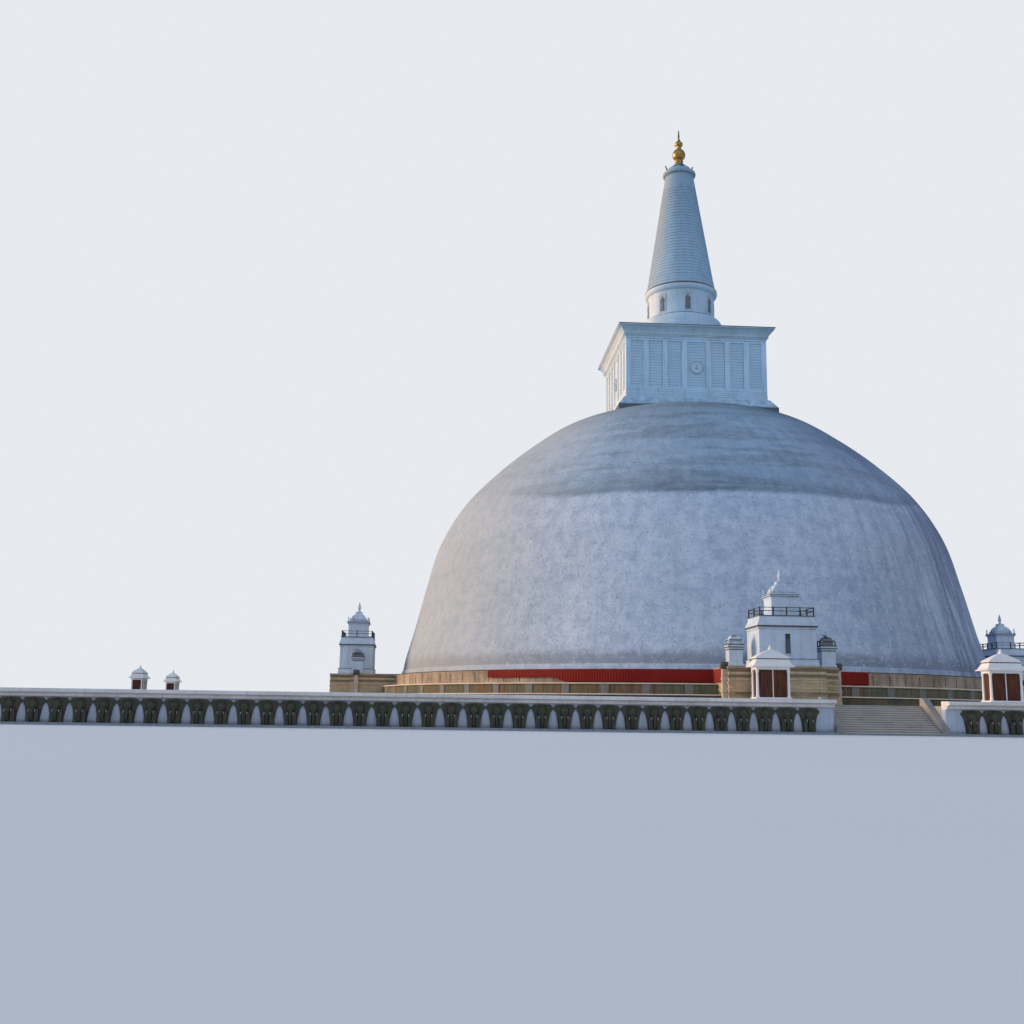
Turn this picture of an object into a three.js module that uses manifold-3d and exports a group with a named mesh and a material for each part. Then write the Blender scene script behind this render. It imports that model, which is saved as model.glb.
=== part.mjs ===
// Great brick stupa on its square terrace, as a scale model at 1:10.
// Units are model millimetres, so 100 here are one metre of the building.
// +Z is up, the origin is on the ground under the spire, and -Y is the front.
import * as THREE from 'three';
import { mergeVertices } from 'three/addons/utils/BufferGeometryUtils.js';
import Module from 'manifold-3d';

const wasm = await Module();
wasm.setup();

// Fit between separate pieces
const GAP = 0.3;
const OVERLAP = 2;

// Square terrace and its elephant wall
const TERRACE_TOP = 260;
const WALL_REACH = 8520;
const WALL_FACE = 8430;
const WALL_BACK = 8350;
const WALL_BASE_REACH = 8505;
const WALL_BASE_TOP = 18;
const COPING_TOP = 300;
const WALL_OUTLINE = [
  [WALL_BACK, 0], [WALL_BASE_REACH, 0], [WALL_BASE_REACH, WALL_BASE_TOP], [WALL_FACE, 22],
  [WALL_FACE, 226], [8464, 236], [8464, 258], [WALL_REACH, 270], [WALL_REACH, 288],
  [8494, COPING_TOP], [WALL_BACK, COPING_TOP], [WALL_BACK, 0],
];

// Stairs in the middle of each side
const STAIR_HALF_WIDTH = 500;
const STAIR_STEPS = 13;
const STAIR_GOING = 36;
const STAIR_FRONT = 8500;
const BALUSTRADE_WIDTH = 60;
const BALUSTRADE_RISE = 70;
const BALUSTRADE_NOSE = 40;
const BALUSTRADE_LANDING = 60;
const THRESHOLD_TOP = 10;
const THRESHOLD_MARGIN = 9;

// Three round basal terraces
const BASAL_SEGMENTS = 64;
const LOWER_RADIUS = 5020;
const LOWER_TOP = 392;
const MIDDLE_RADIUS = 4870;
const MIDDLE_TOP = 525;
const UPPER_RADIUS = 4690;
const UPPER_TOP = 700;
const LEDGE_OVERHANG = 12;
const LEDGE_THICKNESS = 16;

// Dome: how far its surface lies from its centre, at equal angles from level upwards
const DOME_SEGMENTS = 56;
const DOME_RINGS = 16;
const DOME_CENTRE = 716;
const DOME_REACHES = [4556, 4440, 4432, 4508, 4530, 4500, 4495, 4520, 4480];
const DOME_REACH_ANGLE = 9 * Math.PI / 180;

// Square chamber above the dome
const PLINTH_HALF = 1273;
const PLINTH_BOTTOM = 4820;
const PLINTH_TOP = 4940;
const APRON_HALF = 1165;
const BODY_BOTTOM = 5090;
const BODY_HALF = 1125;
const BODY_TOP = 6095;
const PILASTER_PROUD = 12;
const PILASTER_HALF = 26;
const BAY_EDGES = [195, 502, 809, 1111];
const DADO_HEIGHT = 175;
const FRIEZE_HEIGHT = 60;
const DISC_RADIUS = 118;
const DISC_HEIGHT = 5610;
const DISC_PROUD = 10;
const CORNICE_TOP = 6280;
const CORNICE_OUTLINE = [
  [1145, 6095], [1145, 6112], [1160, 6116], [1160, 6132], [1174, 6138], [1184, 6166],
  [1204, 6204], [1234, 6240], [1260, 6252], [1260, CORNICE_TOP],
];

// Round drum, ring and spire
const ROUND_SEGMENTS = 32;
const DRUM_SEGMENTS = 40;
const DRUM_BASE_TOP = 6735;
const DRUM_BASE_OUTLINE = [
  [830, CORNICE_TOP], [830, 6360], [780, 6372], [780, 6440], [735, 6452], [735, 6530],
  [692, 6560], [692, 6632], [664, 6682], [614, 6722], [590, DRUM_BASE_TOP],
];
const DRUM_RADIUS = 558;
const DRUM_FOOT_RADIUS = 570;
const DRUM_FOOT_TOP = 6755;
const DRUM_TOP = 7165;
const RING_TOP = 7430;
const RING_OUTLINE = [
  [DRUM_FOOT_RADIUS, DRUM_TOP], [598, 7178], [614, 7202], [614, 7248], [603, 7263],
  [583, 7272], [560, RING_TOP],
];
const SPIRE_BOTTOM_RADIUS = 557;
const SPIRE_TOP_RADIUS = 246;
const SPIRE_TOP = 9385;
const RIM_TOP_RADIUS = 191;
const RIM_TOP = 9550;
const RIM_OUTLINE = [
  [SPIRE_TOP_RADIUS, SPIRE_TOP], [272, 9400], [286, 9428], [286, 9456],
  [268, 9480], [218, 9500], [212, 9530], [RIM_TOP_RADIUS, RIM_TOP],
];

// Gilt pinnacle
const GILT_SEGMENTS = 24;
const CAP_TOP = 9630;
const CAP_OUTLINE = [[RIM_TOP_RADIUS, RIM_TOP], [170, 9572], [122, 9596], [107, CAP_TOP]];
const NECK_FOOT_RADIUS = 80;
const NECK_RADIUS = 69;
const NECK_TOP = 9737;
const BALL_RADIUS = 113;
const BALL_CENTRE = 9832;
const BALL_RINGS = 7;
const BALL_TOP = 9945;
const SPIKE_SEGMENTS = 16;
const TIP = 10300;
const SPIKE_OUTLINE = [
  [43, BALL_TOP], [43, 9970], [58, 9985], [71, 10020], [71, 10050], [52, 10090],
  [30, 10110], [16, 10160], [9, TIP],
];

// Frontispiece on each axis: stepped stone base, steles and turrets
const CENTRE_REACH = 5660;
const CENTRE_HALF = 390;
const FRONT_REACH = 5330;
const FRONT_BACK = 4600;
const FRONT_HALF = 640;
const FRONT_TOP = 712;
const BAND_PROUD = 12;
const BAND_LEVELS = [[262, 300], [384, 404], [512, 532], [664, 712]];
const STELE_X = 668;
const STELE_Y = 5240;
const STELE_HALF = 34;
const STELE_CAPITAL = 683;
const STELE_CAPITAL_PROUD = 10;
const STELE_TOP = 765;
const TURRET_X = 545;
const TURRET_Y = 5230;
const TURRET_OUTLINE = [
  [90, FRONT_TOP - OVERLAP], [90, 742], [80, 746], [80, 921], [96, 934], [96, 967],
  [66, 975], [66, 1012], [76, 1018], [76, 1034], [46, 1066], [18, 1093],
];

// White tower in the middle of each frontispiece
const TOWER_Y = 5280;
const TOWER_HALF_X = 329;
const TOWER_HALF_Y = 250;
const TOWER_PLINTH_PROUD = 24;
const TOWER_PLINTH_TOP = 797;
const TOWER_CORNICE = 1160;
const TOWER_CORNICE_PROUD = 20;
const TOWER_DECK = 1290;
const WINDOW_HALF = 30;
const WINDOW_SILL = 852;
const WINDOW_HEAD = 1080;
const WINDOW_DEPTH = 40;
const RAIL_HALF = 4;
const RAIL_INSET = 16;
const RAIL_LEVELS = [1342, 1381];
const RAIL_POST_HALF = 8;
const RAIL_POST_TOP = 1390;
const TOWER_HEAD_OUTLINE = [
  [158, TOWER_DECK - OVERLAP], [158, 1512], [174, 1522], [174, 1540], [128, 1542],
  [130, 1570], [121, 1602], [102, 1637], [76, 1662], [46, 1684], [50, 1690], [50, 1704],
  [28, 1710],
];
const TOWER_FINIAL_OUTLINE = [
  [22, 1708], [24, 1722], [14, 1734], [24, 1762], [26, 1784], [16, 1818], [5, 1860],
];
const CORNER_FINIAL_PLACE = 154;
const CORNER_FINIAL_OUTLINE = [[10, 1538], [14, 1556], [7, 1574], [12, 1590], [4, 1622]];

// Gate pavilions on the wall, beside the stairs
const PAVILION_X = 1043;
const PAVILION_Y = 8400;
const PAVILION_HALF_X = 138;
const PAVILION_HALF_Y = 70;
const COLUMN_RADIUS = 12;
const COLUMN_SEGMENTS = 8;
const PAVILION_FLOOR = 312;
const SILL_PROUD = 22;
const BEAM_DEPTH = 22;
const BEAM_PROUD = 14;
const EAVE_HEIGHT = 575;
const PANEL_INSET = 4;
const PANEL_THICKNESS = 8;
const DOORWAY_HALF = 45;
const DOORWAY_HEIGHT = 200;
const SKIRT_OUTLINE = [
  [118, EAVE_HEIGHT + GAP], [118, 582], [93, 612], [70, 650],
];
const UPPER_ROOF_HALF = 80;
const UPPER_ROOF_OUTLINE = [
  [UPPER_ROOF_HALF, 648], [UPPER_ROOF_HALF, 658], [72, 671], [53, 692], [32, 711], [12, 727],
];
const ROOF_FINIAL_OUTLINE = [[15, 722], [20, 735], [9, 745], [4, 769]];

// Lengths of cloth along the upper basal terrace. Their ends are counted in facets
// of the terrace, from the middle of the front. The left one also runs along the side
// of the frontispiece.
const CLOTH_THICKNESS = 4;
const CLOTH_TOP = 698;
const CLOTH_DROP = 160;
const CLOTH_START = 1.43;
const CLOTH_RUN_FRONT = 5190;
const LEFT_CLOTH_END = 8;
const RIGHT_CLOTH_END = 2.86;

// Materials
function material(color, roughness, metalness = 0) {
  return new THREE.MeshStandardMaterial({ color, roughness, metalness });
}
const plaster = () => material(0xc9cfd6, 0.9);
const domePlaster = () => material(0xa9b3c2, 0.92);
const paving = () => material(0xb9ad97, 0.95);
const stone = () => material(0x8a7a62, 0.95);
const cloth = () => material(0xb3201c, 0.85);
const gilt = () => material(0xd6a02c, 0.3, 1);

// Turning geometry into solids and back
function solid(geometry) {
  const bare = geometry.index ? geometry.toNonIndexed() : geometry.clone();
  bare.deleteAttribute('normal');
  bare.deleteAttribute('uv');
  const merged = mergeVertices(bare, 0.001);
  const vertProperties = new Float32Array(merged.attributes.position.array);
  const triVerts = new Uint32Array(merged.index.array);
  return new wasm.Manifold(new wasm.Mesh({ numProp: 3, vertProperties, triVerts }));
}

function geometryOf(shape) {
  const mesh = shape.getMesh();
  const geometry = new THREE.BufferGeometry();
  geometry.setAttribute('position', new THREE.BufferAttribute(mesh.vertProperties, 3));
  geometry.setIndex(new THREE.BufferAttribute(mesh.triVerts, 1));
  geometry.computeVertexNormals();
  return geometry;
}

function union(shapes) {
  return shapes.reduce((joined, shape) => joined.add(shape));
}

// Box from its lowest and highest corners
function block([x0, y0, z0], [x1, y1, z1]) {
  const geometry = new THREE.BoxGeometry(x1 - x0, y1 - y0, z1 - z0);
  geometry.translate((x0 + x1) / 2, (y0 + y1) / 2, (z0 + z1) / 2);
  return solid(geometry);
}

// Box on a centre point, with half widths along X and Y
function pier(x, y, halfX, halfY, z0, z1) {
  return block([x - halfX, y - halfY, z0], [x + halfX, y + halfY, z1]);
}

// Solid of revolution about the Z axis, from [radius, height] points
function turned(points, segments = ROUND_SEGMENTS) {
  const outline = points.map(([radius, height]) => new THREE.Vector2(radius, height));
  const geometry = new THREE.LatheGeometry(outline, segments);
  geometry.rotateX(Math.PI / 2);
  return solid(geometry);
}

// Round solid whose outline is closed by the axis at both ends
function turnedFull(points, segments) {
  const foot = points[0][1];
  const head = points[points.length - 1][1];
  return turned([[0, foot], ...points, [0, head]], segments);
}

// Square or oblong solid with mitred corners, from [half width, height] points.
// The spread is how much longer half the plan is along X than along Y.
function squared(points, x = 0, y = 0, spread = 0) {
  const outline = points.map(([half, height]) => new THREE.Vector2(half * Math.SQRT2, height));
  const geometry = new THREE.LatheGeometry(outline, 4, Math.PI / 4);
  geometry.rotateX(Math.PI / 2);
  const places = geometry.attributes.position;
  for (let index = 0; index < places.count; index += 1) {
    const across = places.getX(index);
    const side = Math.abs(across) < 0.01 ? 0 : Math.sign(across);
    places.setX(index, across + side * spread);
  }
  geometry.translate(x, y, 0);
  return solid(geometry);
}

function squaredFull(points, x, y, spread) {
  const foot = points[0][1];
  const head = points[points.length - 1][1];
  return squared([[0, foot], ...points, [0, head]], x, y, spread);
}

// Outline in the YZ plane, extruded along X
function sideways(points, x0, x1) {
  const shape = new THREE.Shape(points.map(([y, z]) => new THREE.Vector2(y, z)));
  const geometry = new THREE.ExtrudeGeometry(shape, { depth: x1 - x0, bevelEnabled: false });
  const axes = new THREE.Matrix4().makeBasis(
    new THREE.Vector3(0, 1, 0),
    new THREE.Vector3(0, 0, 1),
    new THREE.Vector3(1, 0, 0),
  );
  geometry.applyMatrix4(axes);
  geometry.translate(x0, 0, 0);
  return solid(geometry);
}

function node(name, shape, finish) {
  const mesh = new THREE.Mesh(geometryOf(shape), finish);
  mesh.name = name;
  return mesh;
}

// Terrace and elephant wall
function terraceFill() {
  const half = WALL_BACK - GAP;
  const fill = pier(0, 0, half, half, 0, TERRACE_TOP);
  const run = STAIR_STEPS * STAIR_GOING;
  const reach = STAIR_FRONT - run - GAP;
  const notches = [];
  for (const sign of [-1, 1]) {
    const near = Math.min(sign * reach, sign * WALL_REACH);
    const far = Math.max(sign * reach, sign * WALL_REACH);
    const edge = STAIR_HALF_WIDTH + GAP;
    notches.push(block([-edge, near, -1], [edge, far, TERRACE_TOP + 1]));
    notches.push(block([near, -edge, -1], [far, edge, TERRACE_TOP + 1]));
  }
  return fill.subtract(union(notches));
}

function elephantWall() {
  const ring = squared(WALL_OUTLINE);
  const corner = WALL_REACH + 10;
  const wedgeShape = new THREE.Shape([
    new THREE.Vector2(0, -GAP),
    new THREE.Vector2(-corner, -corner - GAP),
    new THREE.Vector2(corner, -corner - GAP),
  ]);
  const extrusion = { depth: COPING_TOP + 1, bevelEnabled: false };
  const wedge = solid(new THREE.ExtrudeGeometry(wedgeShape, extrusion));
  const edge = STAIR_HALF_WIDTH + GAP;
  const gate = block(
    [-edge, -WALL_REACH - 1, THRESHOLD_TOP],
    [edge, 1 - WALL_BACK, COPING_TOP + 1],
  );
  return ring.intersect(wedge).subtract(gate);
}

function stairs() {
  const rise = TERRACE_TOP / STAIR_STEPS;
  const inner = -(STAIR_FRONT - STAIR_STEPS * STAIR_GOING);
  const profile = [[inner, 0], [-STAIR_FRONT, 0]];
  for (let step = 0; step < STAIR_STEPS; step += 1) {
    const nose = -STAIR_FRONT + step * STAIR_GOING;
    profile.push([nose, (step + 1) * rise], [nose + STAIR_GOING, (step + 1) * rise]);
  }
  const flight = sideways(profile, 1 - STAIR_HALF_WIDTH, STAIR_HALF_WIDTH - 1);
  const side = [
    [inner, 0], [-STAIR_FRONT, 0], [-STAIR_FRONT, BALUSTRADE_RISE],
    [BALUSTRADE_NOSE - STAIR_FRONT, BALUSTRADE_RISE + 10],
    [inner - BALUSTRADE_LANDING, TERRACE_TOP + BALUSTRADE_RISE],
    [inner, TERRACE_TOP + BALUSTRADE_RISE],
  ];
  const outer = STAIR_HALF_WIDTH;
  const left = sideways(side, -outer, BALUSTRADE_WIDTH - outer);
  const right = sideways(side, outer - BALUSTRADE_WIDTH, outer);
  const sill = block(
    [-outer - THRESHOLD_MARGIN, -WALL_REACH, -1],
    [outer + THRESHOLD_MARGIN, GAP - WALL_BACK, THRESHOLD_TOP + GAP],
  );
  return union([flight, left, right]).subtract(sill);
}

// Basal terraces, notched for the frontispieces
function frontNotches() {
  const edge = FRONT_HALF + BAND_PROUD + GAP;
  const far = LOWER_RADIUS + 100;
  const along = [
    block([-edge, -far, 0], [edge, GAP - FRONT_BACK, UPPER_TOP + 50]),
    block([-edge, FRONT_BACK - GAP, 0], [edge, far, UPPER_TOP + 50]),
    block([-far, -edge, 0], [GAP - FRONT_BACK, edge, UPPER_TOP + 50]),
    block([FRONT_BACK - GAP, -edge, 0], [far, edge, UPPER_TOP + 50]),
  ];
  return union(along);
}

function basalTerrace(radius, bottom, top) {
  const ledge = top - LEDGE_THICKNESS;
  const disc = turnedFull([
    [radius, bottom], [radius, ledge - 6], [radius + LEDGE_OVERHANG, ledge],
    [radius + LEDGE_OVERHANG, top],
  ], BASAL_SEGMENTS);
  return disc.subtract(frontNotches());
}

// Dome, with a socket for the chamber's plinth
function dome() {
  const places = DOME_REACHES.map((reach, index) => {
    const angle = index * DOME_REACH_ANGLE;
    return new THREE.Vector2(reach * Math.cos(angle), DOME_CENTRE + reach * Math.sin(angle));
  });
  const curve = new THREE.SplineCurve(places);
  const outline = curve.getPoints(DOME_RINGS).map((point) => [point.x, point.y]);
  const body = turnedFull([[DOME_REACHES[0], UPPER_TOP], ...outline], DOME_SEGMENTS);
  const edge = PLINTH_HALF + GAP;
  const socket = pier(0, 0, edge, edge, PLINTH_BOTTOM, TIP);
  return body.subtract(socket);
}

// Square chamber
function chamberPlinth() {
  return squaredFull([
    [PLINTH_HALF, PLINTH_BOTTOM], [PLINTH_HALF, PLINTH_TOP], [APRON_HALF, BODY_BOTTOM],
  ]);
}

function chamberFace() {
  const outside = BODY_HALF + PILASTER_PROUD;
  const pieces = [];
  for (const edge of BAY_EDGES) {
    for (const sign of [-1, 1]) {
      const x = sign * edge;
      pieces.push(block(
        [x - PILASTER_HALF, -outside, BODY_BOTTOM + DADO_HEIGHT - OVERLAP],
        [x + PILASTER_HALF, OVERLAP - BODY_HALF, BODY_TOP - FRIEZE_HEIGHT + OVERLAP],
      ));
    }
  }
  const disc = new THREE.CylinderGeometry(DISC_RADIUS, DISC_RADIUS, DISC_PROUD + OVERLAP, 20);
  disc.translate(0, OVERLAP / 2 - BODY_HALF - DISC_PROUD / 2, DISC_HEIGHT);
  pieces.push(solid(disc));
  return union(pieces);
}

function chamberBody() {
  const outside = BODY_HALF + PILASTER_PROUD;
  const core = squaredFull([
    [outside, BODY_BOTTOM], [outside, BODY_BOTTOM + DADO_HEIGHT],
    [BODY_HALF, BODY_BOTTOM + DADO_HEIGHT], [BODY_HALF, BODY_TOP - FRIEZE_HEIGHT],
    [outside, BODY_TOP - FRIEZE_HEIGHT], [outside, BODY_TOP],
  ]);
  const face = chamberFace();
  const faces = [0, 90, 180, 270].map((angle) => face.rotate([0, 0, angle]));
  return union([core, ...faces]);
}

function chamberCornice() {
  return squaredFull(CORNICE_OUTLINE);
}

// Round parts over the chamber
function drumBase() {
  return turnedFull(DRUM_BASE_OUTLINE, DRUM_SEGMENTS);
}

function drum() {
  return turnedFull([
    [DRUM_FOOT_RADIUS, DRUM_BASE_TOP], [DRUM_FOOT_RADIUS, DRUM_FOOT_TOP],
    [DRUM_RADIUS, DRUM_FOOT_TOP + 6], [DRUM_RADIUS, DRUM_TOP],
  ], DRUM_SEGMENTS);
}

function drumRing() {
  return turnedFull(RING_OUTLINE, DRUM_SEGMENTS);
}

function spire() {
  return turnedFull([[SPIRE_BOTTOM_RADIUS, RING_TOP], [SPIRE_TOP_RADIUS, SPIRE_TOP]]);
}

function spireRim() {
  return turnedFull(RIM_OUTLINE);
}

function pinnacleCap() {
  return turnedFull(CAP_OUTLINE, GILT_SEGMENTS);
}

function pinnacleBall() {
  const points = [
    [NECK_FOOT_RADIUS, CAP_TOP], [NECK_RADIUS, CAP_TOP + 20], [NECK_RADIUS, NECK_TOP],
  ];
  const start = Math.asin(NECK_RADIUS / BALL_RADIUS);
  for (let ring = 0; ring <= BALL_RINGS; ring += 1) {
    const angle = start + ring * (Math.PI - 1.4 * start) / BALL_RINGS;
    points.push([BALL_RADIUS * Math.sin(angle), BALL_CENTRE - BALL_RADIUS * Math.cos(angle)]);
  }
  points[points.length - 1][1] = BALL_TOP;
  return turnedFull(points, GILT_SEGMENTS);
}

function pinnacleSpike() {
  return turnedFull(SPIKE_OUTLINE, SPIKE_SEGMENTS);
}

// Frontispiece: banded base with a deeper middle, steles and turrets
function frontispiece() {
  const foot = TERRACE_TOP + GAP;
  const pieces = [steppedBase(0, foot, FRONT_TOP)];
  for (const [low, high] of BAND_LEVELS) {
    pieces.push(steppedBase(BAND_PROUD, Math.max(low, foot), high));
  }
  for (const sign of [-1, 1]) {
    pieces.push(stele(sign), squaredFull(TURRET_OUTLINE, sign * TURRET_X, -TURRET_Y, 0));
  }
  return union(pieces);
}

// One course of the base, whose middle comes further forward than its sides
function steppedBase(proud, low, high) {
  const wide = FRONT_HALF + proud;
  const narrow = CENTRE_HALF + proud;
  const sides = block([-wide, -FRONT_REACH - proud, low], [wide, -FRONT_BACK, high]);
  const centre = block([-narrow, -CENTRE_REACH - proud, low], [narrow, -FRONT_BACK, high]);
  return sides.add(centre);
}

function stele(sign) {
  const x = sign * STELE_X;
  const y = -STELE_Y;
  const foot = TERRACE_TOP + GAP;
  const wide = STELE_HALF + STELE_CAPITAL_PROUD;
  const shaft = pier(x, y, STELE_HALF, STELE_HALF, foot, STELE_CAPITAL + OVERLAP);
  const capital = squaredFull([
    [STELE_HALF, STELE_CAPITAL], [wide, STELE_CAPITAL + 14], [wide, STELE_TOP - 12],
    [STELE_HALF, STELE_TOP],
  ], x, y, 0);
  return shaft.add(capital);
}

// Tower: plinth, main block with a sloped deck edge, railed deck and domed head
function frontispieceTower() {
  const y = -TOWER_Y;
  const spread = TOWER_HALF_X - TOWER_HALF_Y;
  const plinth = TOWER_HALF_Y + TOWER_PLINTH_PROUD;
  const cornice = TOWER_HALF_Y + TOWER_CORNICE_PROUD;
  const main = squaredFull([
    [plinth, FRONT_TOP + GAP], [plinth, TOWER_PLINTH_TOP], [TOWER_HALF_Y, TOWER_PLINTH_TOP + 4],
    [TOWER_HALF_Y, TOWER_CORNICE], [cornice, TOWER_CORNICE + 12], [cornice, TOWER_CORNICE + 30],
    [TOWER_HALF_Y - 8, TOWER_DECK],
  ], 0, y, spread);
  const head = squaredFull(TOWER_HEAD_OUTLINE, 0, y, 0);
  const finial = turnedFull(TOWER_FINIAL_OUTLINE, 12).translate([0, y, 0]);
  const window = block(
    [-WINDOW_HALF, y - TOWER_HALF_Y - 1, WINDOW_SILL],
    [WINDOW_HALF, y - TOWER_HALF_Y + WINDOW_DEPTH, WINDOW_HEAD],
  );
  const corners = [];
  for (const sideX of [-1, 1]) {
    for (const sideY of [-1, 1]) {
      const place = [sideX * CORNER_FINIAL_PLACE, y + sideY * CORNER_FINIAL_PLACE, 0];
      corners.push(turnedFull(CORNER_FINIAL_OUTLINE, 6).translate(place));
    }
  }
  return union([main.subtract(window), towerRailing(), head, finial, ...corners]);
}

function towerRailing() {
  const x = TOWER_HALF_X - RAIL_INSET;
  const y = TOWER_HALF_Y - RAIL_INSET;
  const pieces = [];
  for (const across of [-x, -x / 2, 0, x / 2, x]) {
    for (const along of [-y, 0, y]) {
      const inside = Math.abs(across) < x && along === 0;
      if (!inside) {
        pieces.push(pier(
          across, along - TOWER_Y, RAIL_POST_HALF, RAIL_POST_HALF,
          TOWER_DECK - OVERLAP, RAIL_POST_TOP,
        ));
      }
    }
  }
  for (const level of RAIL_LEVELS) {
    for (const side of [-1, 1]) {
      const low = level - RAIL_HALF;
      const high = level + RAIL_HALF;
      pieces.push(pier(0, side * y - TOWER_Y, x, RAIL_HALF, low, high));
      pieces.push(pier(side * x, -TOWER_Y, RAIL_HALF, y, low, high));
    }
  }
  return union(pieces);
}

// Gate pavilion: columns and shutters, hollow, on a sill over the wall
function pavilionWalls(x) {
  const spread = PAVILION_HALF_X - PAVILION_HALF_Y;
  const y = -PAVILION_Y;
  const sill = PAVILION_HALF_Y + SILL_PROUD;
  const panel = PAVILION_HALF_Y - PANEL_INSET;
  const plate = PAVILION_HALF_Y + BEAM_PROUD;
  const beam = EAVE_HEIGHT - BEAM_DEPTH;
  const foot = PAVILION_FLOOR - OVERLAP;
  const pieces = [
    squaredFull([[sill, COPING_TOP + GAP], [sill, PAVILION_FLOOR]], x, y, spread),
    block(
      [x - sill - spread, GAP - WALL_BACK, TERRACE_TOP + GAP],
      [x + sill + spread, y + sill, PAVILION_FLOOR],
    ),
    squaredFull([[panel, foot], [panel, beam + OVERLAP]], x, y, spread),
    squaredFull([[plate, beam], [plate, EAVE_HEIGHT]], x, y, spread),
  ];
  const column = turnedFull(
    [[COLUMN_RADIUS, foot], [COLUMN_RADIUS, beam + OVERLAP]],
    COLUMN_SEGMENTS,
  );
  for (const sideX of [-1, 1]) {
    for (const sideY of [-1, 1]) {
      pieces.push(column.translate([
        x + sideX * PAVILION_HALF_X, y + sideY * PAVILION_HALF_Y, 0,
      ]));
    }
  }
  const room = panel - PANEL_THICKNESS;
  const hollow = squaredFull([[room, PAVILION_FLOOR], [room, EAVE_HEIGHT + 1]], x, y, spread);
  const doorway = block(
    [x - DOORWAY_HALF, y + room - 5, PAVILION_FLOOR],
    [x + DOORWAY_HALF, y + PAVILION_HALF_Y, PAVILION_FLOOR + DOORWAY_HEIGHT],
  );
  return union(pieces).subtract(hollow).subtract(doorway);
}

function pavilionRoof(x) {
  const spread = PAVILION_HALF_X - PAVILION_HALF_Y;
  const y = -PAVILION_Y;
  const skirt = squaredFull(SKIRT_OUTLINE, x, y, spread);
  const stretch = (UPPER_ROOF_HALF + spread) / UPPER_ROOF_HALF;
  const upper = squaredFull(UPPER_ROOF_OUTLINE).scale([stretch, 1, 1]).translate([x, y, 0]);
  const finial = turnedFull(ROOF_FINIAL_OUTLINE, COLUMN_SEGMENTS).translate([x, y, 0]);
  return union([skirt, upper, finial]);
}

// Length of cloth, an upright band that lies against the upper terrace's ledge,
// to the left or right of the front frontispiece
function offeringCloth(sign, end) {
  const stops = [CLOTH_START];
  for (let stop = Math.ceil(CLOTH_START); stop < end; stop += 1) {
    stops.push(stop);
  }
  stops.push(end);
  const radius = UPPER_RADIUS + LEDGE_OVERHANG + GAP;
  const inner = stops.map((stop) => onFacets(radius, sign * stop));
  const outer = stops.map((stop) => onFacets(radius + CLOTH_THICKNESS, sign * stop));
  const shape = new THREE.Shape([...outer.reverse(), ...inner]);
  const geometry = new THREE.ExtrudeGeometry(shape, { depth: CLOTH_DROP, bevelEnabled: false });
  geometry.translate(0, 0, CLOTH_TOP - CLOTH_DROP);
  return solid(geometry);
}

// Left length of cloth, which starts with a straight run beside the frontispiece
function leftCloth() {
  const corner = onFacets(UPPER_RADIUS + LEDGE_OVERHANG + GAP, -CLOTH_START);
  const run = block(
    [corner.x - CLOTH_THICKNESS, -CLOTH_RUN_FRONT, CLOTH_TOP - CLOTH_DROP],
    [corner.x, corner.y, CLOTH_TOP],
  );
  return run.add(offeringCloth(-1, LEFT_CLOTH_END));
}

// Point on a terrace's faceted edge, a number of facets from the middle of the front
function onFacets(radius, stop) {
  const facet = 2 * Math.PI / BASAL_SEGMENTS;
  const fromMiddle = (stop - Math.floor(stop) - 0.5) * facet;
  const reach = radius * Math.cos(facet / 2) / Math.cos(fromMiddle);
  const angle = stop * facet - Math.PI / 2;
  return new THREE.Vector2(reach * Math.cos(angle), reach * Math.sin(angle));
}

// Assembly
const stupa = new THREE.Group();

stupa.add(
  node('terrace', terraceFill(), paving()),
  node('basal_terrace_lower', basalTerrace(LOWER_RADIUS, TERRACE_TOP, LOWER_TOP), stone()),
  node('basal_terrace_middle', basalTerrace(MIDDLE_RADIUS, LOWER_TOP, MIDDLE_TOP), stone()),
  node('basal_terrace_upper', basalTerrace(UPPER_RADIUS, MIDDLE_TOP, UPPER_TOP), stone()),
  node('dome', dome(), domePlaster()),
  node('chamber_plinth', chamberPlinth(), plaster()),
  node('chamber_body', chamberBody(), plaster()),
  node('chamber_cornice', chamberCornice(), plaster()),
  node('drum_base', drumBase(), plaster()),
  node('drum', drum(), plaster()),
  node('drum_ring', drumRing(), plaster()),
  node('spire', spire(), plaster()),
  node('spire_rim', spireRim(), plaster()),
  node('pinnacle_cap', pinnacleCap(), plaster()),
  node('pinnacle_ball', pinnacleBall(), gilt()),
  node('pinnacle_spike', pinnacleSpike(), gilt()),
  node('offering_cloth', leftCloth(), cloth()),
  node('offering_cloth_right', offeringCloth(1, RIGHT_CLOTH_END), cloth()),
);

// Each side of the square is the front, turned about the Z axis
const SIDES = ['front', 'right', 'back', 'left'];
SIDES.forEach((side, index) => {
  const quarter = new THREE.Group();
  quarter.rotation.z = index * Math.PI / 2;
  quarter.add(
    node(`elephant_wall_${side}`, elephantWall(), plaster()),
    node(`stairs_${side}`, stairs(), stone()),
    node(`frontispiece_${side}`, frontispiece(), stone()),
    node(`frontispiece_tower_${side}`, frontispieceTower(), plaster()),
  );
  for (const [hand, sign] of [['left', -1], ['right', 1]]) {
    const x = sign * PAVILION_X;
    quarter.add(
      node(`pavilion_${side}_${hand}`, pavilionWalls(x), plaster()),
      node(`pavilion_roof_${side}_${hand}`, pavilionRoof(x), plaster()),
    );
  }
  stupa.add(quarter);
});

export default stupa;
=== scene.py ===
"""Looks of a great brick stupa at 1:10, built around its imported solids.

Units are model metres, so 0.1 here is one metre of the building. +Z is up, the
origin is on the ground under the spire, and -Y is the front.
"""

import math

import bmesh
import bpy
from mathutils import Matrix, Vector


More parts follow.
